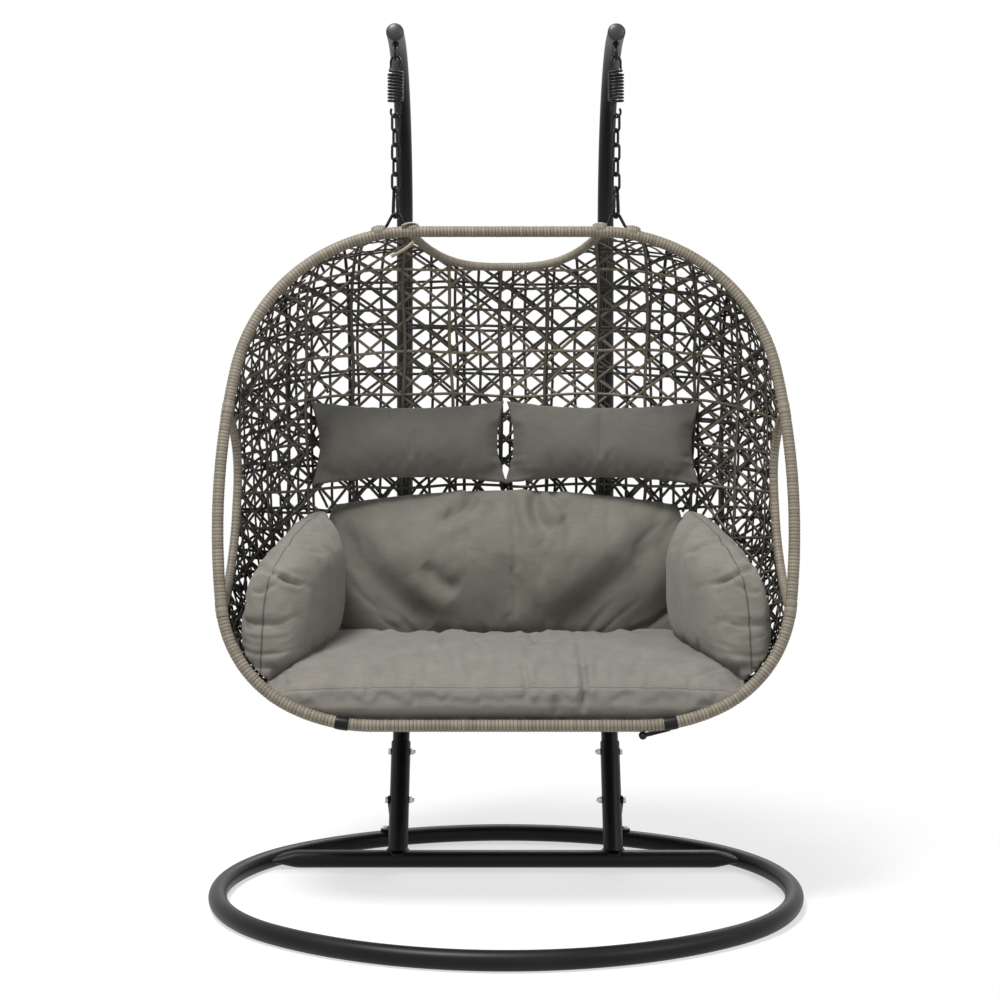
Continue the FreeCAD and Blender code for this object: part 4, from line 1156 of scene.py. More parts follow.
    def build(self) -> None:
        """Makes and dresses the stand."""
        black, zinc = self.finishes.black, self.finishes.zinc
        piece("base_tube", self.ring(), "stand", black, "base_ring")
        piece("bar_tube", self.bar(), "stand", black, "cross_bar")
        post = Shape().tube(self.post_line(), self.post_r, 36, aside=X_WAY)
        heads, nuts, thin = [], [], []
        for side in Side:
            word, flip = side.word, vec(side.value, 1, 1)
            for distance, under in zip(self.bolts_at, (self.plate, 0.0)):
                spot = self.foot + self.axis * distance
                heads.append(((spot + X_WAY * (self.sleeve_r + under)) * flip, X_WAY * side.value, Z_WAY))
                nuts.append(((spot - X_WAY * self.sleeve_r) * flip, X_WAY * -side.value, Z_WAY))
            heads.append(((self.brace_foot() + Z_WAY * self.plate) * flip, Z_WAY, X_WAY))
            for way in (1, -1):
                thin.append(((self.crossing + self.normal * (self.post_r * way)) * flip, self.normal * way, X_WAY))
            piece(word + "_socket", self.sleeve().on(side), "stand", black, word + "_sleeve")
            piece(word + "_bent_post", post.on(side), "stand", black, word + "_post")
            piece(word + "_plug", self.cap().on(side), "stand", self.finishes.plug, word + "_post_cap")
            piece(word + "_strut", self.brace().on(side), "stand", black, word + "_brace")
        parts = Fasteners()
        for name, item, places, finish, nodes in (
                ("bolt_heads", parts.bolt_head(), heads, zinc, ("sleeve_bolts", "brace_bolts")),
                ("dome_nuts", parts.cap_nut(), nuts, zinc, ("sleeve_cap_nuts",)),
                ("eye_nuts", parts.thin_nut(), thin, black, ("eye_bolt_nuts",))):
            piece(name, RowTree(name, item).row(name, places, finish), "stand", finish, *nodes)


@dataclass
class Hangers:
    """Eye bolts, springs, chains and carabiners on both sides."""

    finishes: Finishes
    stand: Stand
    eye_reach: float = 0.0432
    eye_r: float = 0.013
    eye_rod: float = 0.004
    gap: float = 0.0003
    wire: float = 0.00275
    coil_r: float = 0.016
    pitch: float = 0.0074
    turns: int = 9
    hook_r: float = 0.013
    hook_rise: float = 0.014
    hook_leg: float = 0.009
    hook_turn: float = 122.0
    hook_end: float = 36.0
    link_wire: float = 0.003
    link_inner: float = 0.0336
    link_half: float = 0.009
    link_turn: float = -34.0
    link_count: int = 5
    snap_rod: float = 0.004
    snap_length: float = 0.076
    snap_top_r: float = 0.009
    snap_low_r: float = 0.014
    snap_turn: float = 65.0
    gate_margin: float = 0.005
    tongue: float = 0.007
    tongue_root: float = 0.0026
    tongue_tip: float = 0.002
    tongue_half: float = 0.0014
    staple_r: float = 0.0035

    def __post_init__(self) -> None:
        """Works out the heights from the eye bolt down to the staple."""
        stand = self.stand
        self.eye = stand.crossing - stand.normal * self.eye_reach
        self.hang_y = self.eye[1]
        self.crown_z = self.eye[2] - self.eye_r + self.eye_rod + self.wire + self.gap
        height = self.hook_rise + self.hook_leg + self.hook_r * math.cos(math.radians(18))
        self.low_z = self.crown_z - self.turns * self.pitch - 2 * height
        self.link_z = self.low_z + self.wire + self.link_wire + self.gap
        self.step = self.link_inner - self.gap
        last = self.link_z - (self.link_count - 1) * self.step - self.link_inner - 2 * self.link_wire
        self.snap_z = last + self.link_wire + self.snap_rod + self.gap
        self.snap_low_z = self.snap_z - self.snap_length + 2 * self.snap_rod
        self.apex_z = self.snap_low_z + self.snap_rod + self.staple_r + self.gap

    def spun(self, points: Point, degrees: float) -> Point:
        """Points turned about the hanger's upright line and moved to the right hanger.

        Args:
            points: Points round the hanger's own line.
            degrees: How far they turn.

        Returns:
            The same points in the chair's frame.
        """
        turn = math.radians(degrees)
        x = points[:, 0] * math.cos(turn) - points[:, 1] * math.sin(turn)
        y = points[:, 0] * math.sin(turn) + points[:, 1] * math.cos(turn)
        return np.stack([x + self.stand.post_x, y + self.hang_y, points[:, 2]], axis=1)

    def spring_line(self) -> Point:
        """The spring's one wire: lower hook, coil, upper hook.

        Returns:
            One row for each point, round the hanger's own line.
        """
        half = self.turns * math.pi
        climb = self.pitch / math.tau
        angles = np.linspace(-half, half, self.turns * 26 + 1)
        coil = np.stack([self.coil_r * np.cos(angles), self.coil_r * np.sin(angles), climb * angles], axis=1)
        end = coil[-1]
        heading = unit(coil[-1] - coil[-2])
        side = vec(math.cos(half + math.pi / 2), math.sin(half + math.pi / 2), 0)
        leg = side * self.hook_r + Z_WAY * (end[2] + self.hook_rise)
        reach = np.linalg.norm(leg - end) * 1.1
        rise = []
        for s in np.linspace(0.0, 1.0, 14)[1:]:
            a, b = 2 * s ** 3 - 3 * s ** 2 + 1, s ** 3 - 2 * s ** 2 + s
            c, d = 3 * s ** 2 - 2 * s ** 3, s ** 3 - s ** 2
            rise.append(end * a + heading * (reach * b) + leg * c + Z_WAY * (reach * d))
        bow = Z_WAY * (leg[2] + self.hook_leg)
        hook = arc(bow, self.hook_r, side, Z_WAY, 0, 180 + self.hook_end, 26)
        upper = np.vstack([np.array(rise), hook])
        lower = (upper * (1, -1, -1))[::-1]
        return np.vstack([lower, coil, upper]) + Z_WAY * ((self.crown_z + self.low_z) / 2)

    def link_mesh(self) -> Mesh:
        """One oval link, its top crown's centre at the origin, in the X-Z plane.

        Returns:
            Its mesh.
        """
        top = Z_WAY * -self.link_half
        low = top - Z_WAY * (self.link_inner + 2 * self.link_wire - 2 * self.link_half)
        line = np.vstack([arc(top, self.link_half, X_WAY, Z_WAY, 0, 180, 14),
                          arc(low, self.link_half, X_WAY, Z_WAY, 180, 360, 14)])
        shape = Shape().tube(line, self.link_wire, 14, closed=True, aside=Y_WAY)
        seam = (top + low) / 2 + X_WAY * self.link_half
        weld = [(0.0029, -0.0016), (0.0033, -0.0008), (0.0034, 0.0), (0.0033, 0.0008), (0.0029, 0.0016)]
        return shape.turned(seam, Z_WAY, weld, 14).mesh("chain_link")

    def snap_frame(self) -> tuple[Point, Point, float, Point, Point, Point, Point]:
        """The carabiner's bow centres, taper, the gate's two ends, the way along it and outwards.

        Returns:
            The two centres, the taper in degrees, the ends, and the two directions.
        """
        top = Z_WAY * (self.snap_z - self.snap_top_r)
        low = Z_WAY * (self.snap_low_z + self.snap_low_r)
        taper = math.asin((self.snap_low_r - self.snap_top_r) / (top[2] - low[2]))
        outward = vec(-math.cos(taper), 0, math.sin(taper))
        upper = top + outward * self.snap_top_r
        lower = low + outward * self.snap_low_r
        along = unit(lower - upper)
        return (top, low, math.degrees(taper), upper + along * self.gate_margin, lower - along * self.gate_margin,
                along, outward)

    def snap(self) -> Shape:
        """The carabiner's body: spine, bows and the tongues that the gate closes on.

        Returns:
            Its shape.
        """
        top, low, taper, upper, lower, along, outward = self.snap_frame()
        line = np.vstack([upper, arc(top, self.snap_top_r, X_WAY, Z_WAY, 180 - taper, taper, 20),
                          arc(low, self.snap_low_r, X_WAY, Z_WAY, taper, -180 - taper, 30), lower])
        shape = Shape().tube(self.spun(line, self.snap_turn), self.snap_rod, 18)
        for end, way in ((upper, along), (lower, -along)):
            root, tip = end - way * 0.001, end + way * self.tongue
            corners = np.array([root + outward * self.tongue_root, root - outward * self.tongue_root,
                                tip - outward * self.tongue_tip, tip + outward * self.tongue_tip])
            plate = [corners - Y_WAY * self.tongue_half, corners + Y_WAY * self.tongue_half]
            shape.rings([self.spun(ring, self.snap_turn) for ring in plate])
        return shape

    def gate(self) -> Shape:
        """The gate: a bar with forked ends over both tongues.

        Returns:
            Its shape.
        """
        _, _, _, upper, lower, along, outward = self.snap_frame()
        start, end = upper + along * 0.0004, lower - along * 0.0004
        near, far = along * 0.0072, along * 0.0078
        middle = np.array([start + near, start + far, end - far, end - near])
        shape = Shape().tube(self.spun(middle, self.snap_turn), np.array([0.0034, 0.0038, 0.0038, 0.0034]), 18)
        cheek = ((0.0, 0.0022), (0.0009, 0.0031), (0.0078, 0.0034))
        for tip, way in ((start, along), (end, -along)):
            outline = [tip + way * height + outward * width for height, width in cheek]
            outline += [tip + way * height - outward * width for height, width in cheek[::-1]]
            for aside in (Y_WAY * -0.0018, Y_WAY * 0.0018):
                flat = np.array(outline) + aside
                shape.rings([self.spun(flat, self.snap_turn), self.spun(flat + aside, self.snap_turn)])
        return shape

    def pin(self) -> Shape:
        """The pin that the gate turns on, with its riveted ends.

        Returns:
            Its shape.
        """
        _, _, _, upper, _, along, _ = self.snap_frame()
        spot = self.spun((upper + along * (self.tongue / 2))[None, :], self.snap_turn)[0]
        turn = math.radians(self.snap_turn)
        axis = vec(-math.sin(turn), math.cos(turn), 0)
        profile = [(0.0012, -0.0041), (0.0019, -0.0038), (0.0019, -0.0034), (0.00125, -0.0033), (0.00125, 0.0033),
                   (0.0019, 0.0034), (0.0019, 0.0038), (0.0012, 0.0041)]
        return Shape().turned(spot, axis, profile, 16)

    def eye_bolt(self) -> Shape:
        """The eye bolt, its shank threaded where it passes the nuts.

        Returns:
            Its shape.
        """
        stand = self.stand
        shape = Shape().tube(arc(self.eye, self.eye_r, Z_WAY, Y_WAY, 0, 360, 40)[:-1], self.eye_rod, 18, closed=True)
        top = self.eye + stand.normal * (self.eye_reach + stand.post_r + 0.0065)
        length = np.linalg.norm(top - self.eye) - self.eye_r
        profile = [(self.eye_rod, 0.0)]
        thread = 0.00125
        steps = int((length - 0.004) / thread * 2)
        profile += [(self.eye_rod - (0.0005 if i % 2 else 0.0), 0.004 + i * thread / 2) for i in range(steps)]
        profile.append((self.eye_rod - 0.0008, length))
        return shape.turned(self.eye + stand.normal * self.eye_r, stand.normal, profile, 16)

    def build(self) -> None:
        """Makes and dresses both hangers."""
        black = self.finishes.black
        links = RowTree("links", self.link_mesh())
        spring_line = self.spun(self.spring_line(), self.hook_turn)
        for side in Side:
            word, flip = side.word, vec(side.value, 1, 1)
            places = []
            for number in range(self.link_count):
                turn = math.radians(self.link_turn + 90 * number)
                spot = vec(self.stand.post_x, self.hang_y, self.link_z - number * self.step)
                places.append((spot * flip, Z_WAY, vec(math.cos(turn), math.sin(turn), 0) * flip))
            piece(word + "_eye", self.eye_bolt().on(side), "stand", black, word + "_eye_bolt")
            coil = Shape().tube(spring_line, self.wire, 14).on(side)
            spring = piece(word + "_coil_spring", coil, None, black, word + "_spring")
            side.value * self.stand.post_x
            self.crown_z - 0.036
            side.value * self.stand.post_x
            self.low_z + 0.036
            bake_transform(spring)
            for name, body, chosen in (("_first_link", "_top_link", (1,)), ("_links", "_chain", (2, 3, 4, 5))):
                row = links.row(word + name, [places[n - 1] for n in chosen], black)
                piece(word + name, row, word + body, black, *(word + "_link_%d" % n for n in chosen))
            piece(word + "_snap", self.snap().on(side), word + "_hook", black, word + "_carabiner")
            piece(word + "_snap_gate", self.gate().on(side), word + "_gate", black, word + "_carabiner_gate")
            piece(word + "_rivet", self.pin().on(side), word + "_hook", self.finishes.zinc, word + "_gate_pin")


@dataclass
class Bowl:
    """The basket's shape: the leaning hoop's outline and the bowl behind it."""

    hang_y: float
    top_z: float
    lean: float = math.radians(16.6)
    top_half: float = 0.210
    arcs: tuple[tuple[float, float], ...] = ((0.396, 80.0), (1.690, 18.0), (0.278, 56.0), (0.400, 26.0))
    tube: float = 0.0255
    gap: float = 0.0003
    back_y: float = 0.430
    reach: float = 0.9956
    side_power: float = 2.4
    top_power: float = 2.6
    seat_power: float = 4.0
    rim: float = 0.020
    scoop_half: float = 0.215
    scoop_back: float = 0.315
    scoop_power: float = 3.0
    arm_top: float = 1.052
    arm_low: float = 0.645
    arm_depth: float = 0.165

    def __post_init__(self) -> None:
        """Lays out the hoop's arcs from the middle of its top to the middle of its rail."""
        self.up = vec(0, math.sin(self.lean), math.cos(self.lean))
        self.back = vec(0, math.cos(self.lean), -math.sin(self.lean))
        self.top = vec(0, self.hang_y, self.top_z)
        self.behind = (self.tube / 2 + self.gap) / self.up[2]
        x, t, heading, done = self.top_half, 0.0, 0.0, self.top_half
        rows = [(0.0, 0.0, 0.0, 0.0), (done, x, t, heading)]
        for radius, degrees in self.arcs:
            turn = math.radians(degrees)
            middle_x, middle_t = x - radius * math.sin(heading), t - radius * math.cos(heading)
            for angle in np.linspace(heading, heading + turn, 61)[1:]:
                rows.append((done + radius * (angle - heading), middle_x + radius * math.sin(angle),
                             middle_t + radius * math.cos(angle), angle))
            done += radius * turn
            _, x, t, heading = rows[-1]
        rows.append((done + x, 0.0, t, heading))
        self.rows = np.array(rows)
        self.half_length = done + x
        self.widest = np.interp(math.pi / 2, self.rows[:, 3], self.rows[:, 0]) / self.half_length
        self.widest_t = float(self.outline(self.widest)[1])
        self.middle_z = self.top_z + self.up[2] * self.widest_t

    def outline(self, share: Point | float) -> tuple[Point, Point, Point]:
        """The hoop's x, its distance up the plane and its heading at shares of half its length, from 0 to 2.

        Args:
            share: The shares; 0 is the middle of the top and 1 that of the rail.

        Returns:
            x, distance up and heading.
        """
        share = np.mod(share, 2.0)
        other = share > 1.0
        run = np.where(other, 2.0 - share, share) * self.half_length
        x, t, heading = (np.interp(run, self.rows[:, 0], self.rows[:, k]) for k in (1, 2, 3))
        return np.where(other, -x, x), t, heading

    def hoop(self, share: Point | float, outset: float = 0.0) -> Point:
        """Points on the hoop's centreline, or outset from it in its plane.

        Args:
            share: The shares of half its length.
            outset: How far out in the plane.

        Returns:
            The points.
        """
        x, t, heading = self.outline(share)
        side = np.where(np.mod(share, 2.0) > 1.0, -1.0, 1.0)
        x = x + outset * np.sin(heading) * side
        t = t + outset * np.cos(heading)
        return self.top + x[..., None] * X_WAY + t[..., None] * self.up

    def share_at_x(self, x: float, lower: bool) -> float:
        """The share at which the right half reaches x, above or below its widest place.

        Args:
            x: The distance from the middle.
            lower: Whether the lower part is meant.

        Returns:
            The share.
        """
        keep = (self.rows[:, 3] >= math.pi / 2) == lower
        rows = self.rows[keep]
        rows = rows[::-1] if lower else rows
        return float(np.interp(x, rows[:, 1], rows[:, 0])) / self.half_length

    def plane_y(self, z: Point | float) -> Point | float:
        """The y of the hoop's plane at a height."""
        return self.hang_y + (z - self.top_z) * math.tan(self.lean)

    def surface(self, share: Point, depth: Point) -> Point:
        """Points on the bowl: depth runs from 0 at the hoop to 1 at the back.

        Args:
            share: Where round the hoop.
            depth: How deep in the bowl.

        Returns:
            The points.
        """
        start = self.hoop(share)
        reach = depth * self.reach
        power = np.where(start[..., 2] > self.middle_z, self.top_power, self.seat_power)
        sideways = (1 - reach ** self.side_power) ** (1 / self.side_power)
        upright = (1 - reach ** power) ** (1 / power)
        front = start[..., 1] + self.behind
        return np.stack([start[..., 0] * sideways, front + (self.back_y - front) * depth,
                         self.middle_z + (start[..., 2] - self.middle_z) * upright], axis=-1)

    def depth_of(self, share: float, y: float) -> float:
        """How deep in the bowl a y lies on the meridian of a share."""
        front = float(self.hoop(share)[1]) + self.behind
        return min(max((y - front) / (self.back_y - front), 0.0), 1.0)

    def sought(self, y: float, aim: float, axis: int, low: float, high: float) -> Point:
        """The bowl's point at y whose x (axis 0) or z (axis 2) is aim, between two shares.

        Args:
            y: How far back.
            aim: The x or z that is sought.
            axis: Which of them it is.
            low: The first share.
            high: The last share.

        Returns:
            The point.
        """
        for _ in range(40):
            share = (low + high) / 2
            point = self.surface(np.array(share), np.array(self.depth_of(share, y)))
            if (point[axis] > aim) == (axis == 2):
                low = share
            else:
                high = share
        return point

    def arm_y(self, z: Point) -> Point:
        """The y of the arm rim's centreline at heights between its ends.

        Args:
            z: The heights.

        Returns:
            The y at each.
        """
        middle, half = (self.arm_top + self.arm_low) / 2, (self.arm_top - self.arm_low) / 2
        share = np.clip(1 - (np.abs(z - middle) / half) ** 2.4, 0.0, 1.0) ** (1 / 1.6)
        return self.plane_y(z) + self.behind + self.rim / 2 / self.up[2] + (self.arm_depth - self.rim) * share

    def arm_line(self, points: int = 26) -> Point:
        """The right arm rim's centreline from its top to its bottom.

        Args:
            points: How many heights are worked out.

        Returns:
            One row for each point.
        """
        spread = (1 - np.cos(np.linspace(0.0, math.pi, points))) / 2
        heights = self.arm_top + (self.arm_low - self.arm_top) * spread
        line = []
        for z in heights:
            low, high = self.share_at_z(z + 0.06), self.share_at_z(z - 0.06)
            y = float(self.arm_y(z))
            x = self.sought(y, z, 2, low, high)[0]
            line.append(vec(x, y, z))
        return smoothed(np.array(line), 4)

    def share_at_z(self, z: float) -> float:
        """The share of the half outline at a height."""
        shares = np.linspace(0.0, 1.0, 1201)
        return float(np.interp(-z, -self.hoop(shares)[:, 2], shares))

    def scoop_line(self) -> Point:
        """The scoop rim's centreline from its right end to its left.

        Returns:
            One row for each point.
        """
        angles = np.linspace(0.0, math.pi / 2, 40)[:-1]
        across = self.scoop_half * np.cos(angles) ** (2 / self.scoop_power)
        right = []
        for x, y in zip(across, self.scoop_y(across)):
            right.append(vec(x, y, self.sought(y, x, 0, 0.0, self.widest)[2]))
        middle = vec(0, self.scoop_back, right[-1][2])
        return np.array(right + [middle] + [p * (-1, 1, 1) for p in reversed(right)])

    def scoop_y(self, x: Point) -> Point:
        """How far back the scoop rim runs at distances from the middle.

        Args:
            x: The distances.

        Returns:
            The y at each.
        """
        front = self.hang_y + self.behind
        share = np.clip(np.abs(x) / self.scoop_half, 0.0, 1.0)
        return front + (self.scoop_back - front) * (1 - share ** self.scoop_power) ** (1 / self.scoop_power)

    def rib_line(self, x: float, outset: float) -> Point:
        """An upright rod's line behind the weave at x.

        Args:
            x: How far from the middle.
            outset: How far behind the weave.

        Returns:
            One row for each point.
        """
        low, high = self.share_at_x(x, False), self.share_at_x(x, True)
        shares = low + (high - low) * (1 - np.cos(np.linspace(0.0, math.pi, 90))) / 2
        start = self.hoop(shares)
        least = (1 - self.reach ** self.side_power) ** (1 / self.side_power)
        sideways = np.clip(x / np.maximum(start[:, 0], x), least, 1)
        depth = (1 - sideways ** self.side_power) ** (1 / self.side_power) / self.reach
        line = self.surface(shares, depth)
        line[:, 0] = x
        ways = np.gradient(line, axis=0)
        out = np.cross(ways, X_WAY)
        out /= np.linalg.norm(out, axis=1)[:, None]
        line = line + out * (outset if out[45][1] > 0 else -outset)
        if x < self.scoop_half:
            line = line[(line[:, 1] > self.scoop_back + self.rim / 2 + 0.004) | (line[:, 2] < self.middle_z)]
        front = self.plane_y(line[:, 2]) + self.behind
        return resampled(line[line[:, 1] > front - 0.004], 0.012)

    def opening(self, points: Point, slack: float = 0.003) -> Point:
        """Which points lie in an arm opening or in the scoop.

        Args:
            points: The points.
            slack: How far past the edge still counts as weave.

        Returns:
            True for each point in an opening.
        """
        x, y, z = np.abs(points[:, 0]), points[:, 1], points[:, 2]
        arm = (z < self.arm_top) & (z > self.arm_low) & (y < self.arm_y(z) - slack)
        return arm | ((x < self.scoop_half - slack) & (y < self.scoop_y(x) - slack) & (z > self.top_z - 0.2))


@dataclass
class BasketFrame:
    """The wrapped hoop and rims, the staples, the steel ribs and the collars on the front rail."""

    finishes: Finishes
    bowl: Bowl
    apex_z: float
    post_x: float = 0.250
    staple_rod: float = 0.007
    staple_bend: float = 0.011
    leg_spread: float = 0.019
    foot: float = 0.026
    foot_bend: float = 0.006
    rib_rod: float = 0.008
    rib_x: tuple[float, ...] = (0.100, 0.237, 0.374, 0.511)
    collar_x: float = 0.345
    collar_length: float = 0.028
    collar_wall: float = 0.0014
    ear_length: float = 0.058
    ear_high: float = 0.013
    ear_thick: float = 0.003
    ear_drop: float = 0.001
    hoop_pitch: float = 0.0078
    scoop_pitch: float = 0.0047
    arm_pitch: float = 0.0092
    foot_sink: float = 0.0095
    foot_overhang: float = 0.008
    foot_wrap: float = 0.0150
    binding: float = 0.034
    binding_pitch: float = 0.0115
    binding_over: float = 0.0007
    joint_above: float = 0.012
    joint_below: float = 0.004
    foot_least: float = 0.38
    foot_round: float = 2.6
    rib_behind: float = 0.0078
    loose_width: float = 0.0075
    loose_over: tuple[tuple[float, float, float], ...] = (
        (-0.2360, 0.1080, 1.4790), (-0.2290, 0.1065, 1.4826), (-0.2210, 0.1072, 1.4848), (-0.2120, 0.1100, 1.4858),
        (-0.2040, 0.1140, 1.4848))
    loose_under: tuple[tuple[float, float, float], ...] = (
        (-0.2090, 0.1160, 1.4440), (-0.2220, 0.1130, 1.4310), (-0.2400, 0.1150, 1.4200), (-0.2600, 0.1220, 1.4100))

    def bend(self, before: Point, corner: Point, after: Point, radius: float, steps: int) -> Point:
        """Points that round a corner with an arc.

        Args:
            before: A point before the corner.
            corner: The corner.
            after: A point after it.
            radius: The arc's radius.
            steps: Its steps.

        Returns:
            The arc's points.
        """
        into, out = unit(corner - before), unit(after - corner)
        half = math.acos(float(np.clip(into.dot(out), -1, 1))) / 2
        start = corner - into * (radius * math.tan(half))
        side = unit(out - into * out.dot(into))
        return arc(start + side * radius, radius, -side, into, 0, math.degrees(2 * half), steps)

    def staple_feet(self) -> list[Point]:
        """Where the staple's two feet begin and end on the hoop.

        Returns:
            The four points, from left to right.
        """
        seat = (self.bowl.tube + self.staple_rod) / 2
        far = self.leg_spread + self.foot
        return [self.bowl.hoop(np.array(self.bowl.share_at_x(self.post_x + away, False)), seat)
                for away in (-far, -self.leg_spread, self.leg_spread, far)]

    def staple_line(self) -> Point:
        """The staple's centreline: foot, leg, crown, leg, foot.

        Returns:
            One row for each point.
        """
        feet = self.staple_feet()
        apex = vec(self.post_x, self.bowl.hang_y, self.apex_z)
        right = unit(feet[2] - feet[1])
        up = unit(apex - feet[1] - right * (apex - feet[1]).dot(right))
        centre = apex - up * self.staple_bend
        reach = feet[2] - centre
        lean = math.atan2(reach.dot(up), reach.dot(right)) + math.acos(self.staple_bend / np.linalg.norm(reach))
        lean = math.degrees(lean)
        crown = arc(centre, self.staple_bend, right, up, 180 - lean, lean, 16)
        return np.vstack([feet[0], self.bend(feet[0], feet[1], crown[0], self.foot_bend, 8), crown,
                          self.bend(crown[-1], feet[2], feet[3], self.foot_bend, 8), feet[3]])

    def wraps(self, tree: WrapTree, name: str, lines: list[Point], radius: float, pitch: float,
              nodes: tuple[str, ...], girth: list[Point] | None = None, closed: bool = False) -> None:
        """Makes one wrapped piece along its lines.

        Args:
            tree: The wrapped tube's node tree.
            name: The piece's name.
            lines: Its centrelines.
            radius: The radius over the wrap.
            pitch: The width of one turn.
            nodes: The solids that it stands for.
            girth: A share of the radius for each point, where the wrap tapers.
            closed: Whether the lines are loops.
        """
        shares = girth or [np.ones(len(line)) for line in lines]
        guide = guide_mesh(name + "_line", lines, closed, numbers={"girth": shares})
        mesh = tree.mesh(name, guide, self.finishes.wrap, {"Radius": radius, "Pitch": pitch})
        piece(name, mesh, "basket", self.finishes.wrap, *nodes)

    def bump(self, before: Point, after: Point) -> tuple[Point, Point]:
        """The wrap over a staple's foot: its centreline, and a girth that is round at both ends.

        Args:
            before: Where the foot begins.
            after: Where it ends.

        Returns:
            The centreline and the girth.
        """
        share = (1 - np.cos(np.linspace(0.0, math.pi, 15))) / 2
        girth = np.sqrt(np.clip(1 - np.abs(2 * share - 1) ** self.foot_round, 0.0, 1.0))
        girth = girth * (1 - self.foot_least) + self.foot_least
        return before + (after - before) * share[:, None], girth

    def collar(self) -> Shape:
        """The band round the front rail.

        Returns:
            Its shape.
        """
        spread = np.linspace(-self.collar_length / 2, self.collar_length / 2, 7)
        line = np.array([self.bowl.hoop(np.array(self.bowl.share_at_x(self.collar_x + d, True))) for d in spread])
        radii = np.full(len(line), self.bowl.tube / 2 + self.collar_wall)
        radii[[0, -1]] -= 0.0006
        return Shape().tube(line, radii, 32)

    def ear_spot(self) -> Point:
        """The middle of the clamp bolt under the front rail."""
        rail = self.bowl.hoop(np.array(1.0))
        return rail + vec(self.collar_x - self.ear_length, 0, -(self.bowl.tube + self.ear_high) / 2 - self.ear_drop)

    def ear(self) -> Shape:
        """The flat ear of the right collar, round at its bolt and wider at the band.

        Returns:
            Its shape.
        """
        spot = self.ear_spot()
        rail = self.bowl.hoop(np.array(self.bowl.share_at_x(self.collar_x, True)))
        half, r = self.ear_thick / 2, self.ear_high / 2 - self.collar_wall
        low = rail[2] - self.bowl.tube / 2 - 2 * self.collar_wall
        tip = arc(vec(spot[0], 0, spot[2]), r, X_WAY, Z_WAY, 90, 270, 14)
        outline = np.vstack([tip, vec(self.collar_x, 0, low), vec(self.collar_x, 0, low + 4 * self.collar_wall)])
        return Shape().bar(outline[::-1] + Y_WAY * (spot[1] + half), Y_WAY * -self.ear_thick, EASED)

    def build(self) -> None:
        """Makes and dresses the basket's frame."""
        bowl, black = self.bowl, self.finishes.black
        tree, arm = WrapTree(), bowl.arm_line()
        hoop = bowl.hoop(np.linspace(0.0, 2.0, 420, endpoint=False))
        self.wraps(tree, "hoop_wrap", [hoop], bowl.tube / 2, self.hoop_pitch, ("front_hoop",), closed=True)
        self.wraps(tree, "scoop_wrap", [bowl.scoop_line()], bowl.rim / 2, self.scoop_pitch, ("scoop_rim",))
        for side in Side:
            word, flip = side.word, vec(side.value, 1, 1)
            self.wraps(tree, word + "_arm_wrap", [arm * flip], bowl.rim / 2, self.arm_pitch, (word + "_arm_rim",))
            staple = Shape().tube(self.staple_line(), self.staple_rod / 2, 18)
            piece(word + "_hanger_staple", staple.on(side), "basket", black, word + "_staple")
            feet = self.staple_feet()
            middle = bowl.hoop(np.array(bowl.share_at_x(self.post_x, False)))
            sink = unit(middle - (feet[1] + feet[2]) / 2) * self.foot_sink
            reach = unit(feet[1] - feet[0]) * self.foot_overhang
            bumps = [self.bump(a + sink, b + sink) for a, b in ((feet[0] - reach, feet[1]), (feet[2], feet[3] + reach))]
            lines, girths = [line * flip for line, _ in bumps], [girth for _, girth in bumps]
            self.wraps(tree, word + "_foot_wraps", lines, self.foot_wrap, self.scoop_pitch, (), girths)
            length = self.binding / 2 / bowl.half_length
            shares = (bowl.share_at_z(bowl.arm_top + self.joint_above),
                      bowl.share_at_z(bowl.arm_low - self.joint_below))
            joints = [bowl.hoop(np.linspace(share - length, share + length, 7)) * flip for share in shares]
            over = bowl.tube / 2 + self.binding_over
            self.wraps(tree, word + "_bindings", joints, over, self.binding_pitch, ())
            band = self.collar()
            if side is Side.RIGHT:
                band = self.ear().add(band.verts[0], band.faces)
            piece(word + "_clamp", band.on(side), "basket", black, word + "_rail_collar")
        spot, half, parts = self.ear_spot(), Y_WAY * (self.ear_thick / 2), Fasteners()
        for name, item, way, nodes in (("clamp_bolt_head", parts.bolt_head(), 1, ("right_clamp_bolt",)),
                                       ("clamp_nut", parts.cap_nut(), -1, ())):
            row = RowTree(name, item).row(name, [(spot + half * way, Y_WAY * way, Z_WAY)], black)
            piece(name, row, "basket", black, *nodes)
        ribs = Shape()
        for x in self.rib_x:
            line = bowl.rib_line(x, self.rib_behind)
            for flip in (1, -1):
                ribs.tube(line * (flip, 1, 1), self.rib_rod / 2, 10, aside=X_WAY)
        piece("steel_ribs", ribs, "basket", black, "basket_ribs")
        self.loose_ends()

    def loose_ends(self) -> None:
        """The two flat strand ends at the left staple: one over its foot, one under the hoop."""
        lines = [smoothed(np.array(points), 4) for points in (self.loose_over, self.loose_under)]
        ways = unit(vec(0.0, -0.5, 1.0)), -Y_WAY
        outward = [np.tile(way, (len(line), 1)) for way, line in zip(ways, lines)]
        tones = [np.ones(len(line)) for line in lines]
        guide = guide_mesh("loose_end_lines", lines, numbers={"tone": tones}, vectors={"outward": outward})
        mesh = StrandTree().mesh("loose_ends", guide, self.finishes.loose_end, {"Width": self.loose_width})
        piece("loose_ends", mesh, "basket", self.finishes.loose_end)


@dataclass(frozen=True)
class Family:
    """One family of straight strands in the weave."""

    angle: float
    spacing: float
    shifts: tuple[float, ...]
    level: float
    kept: float = 1.0
    beyond: float = 0.0


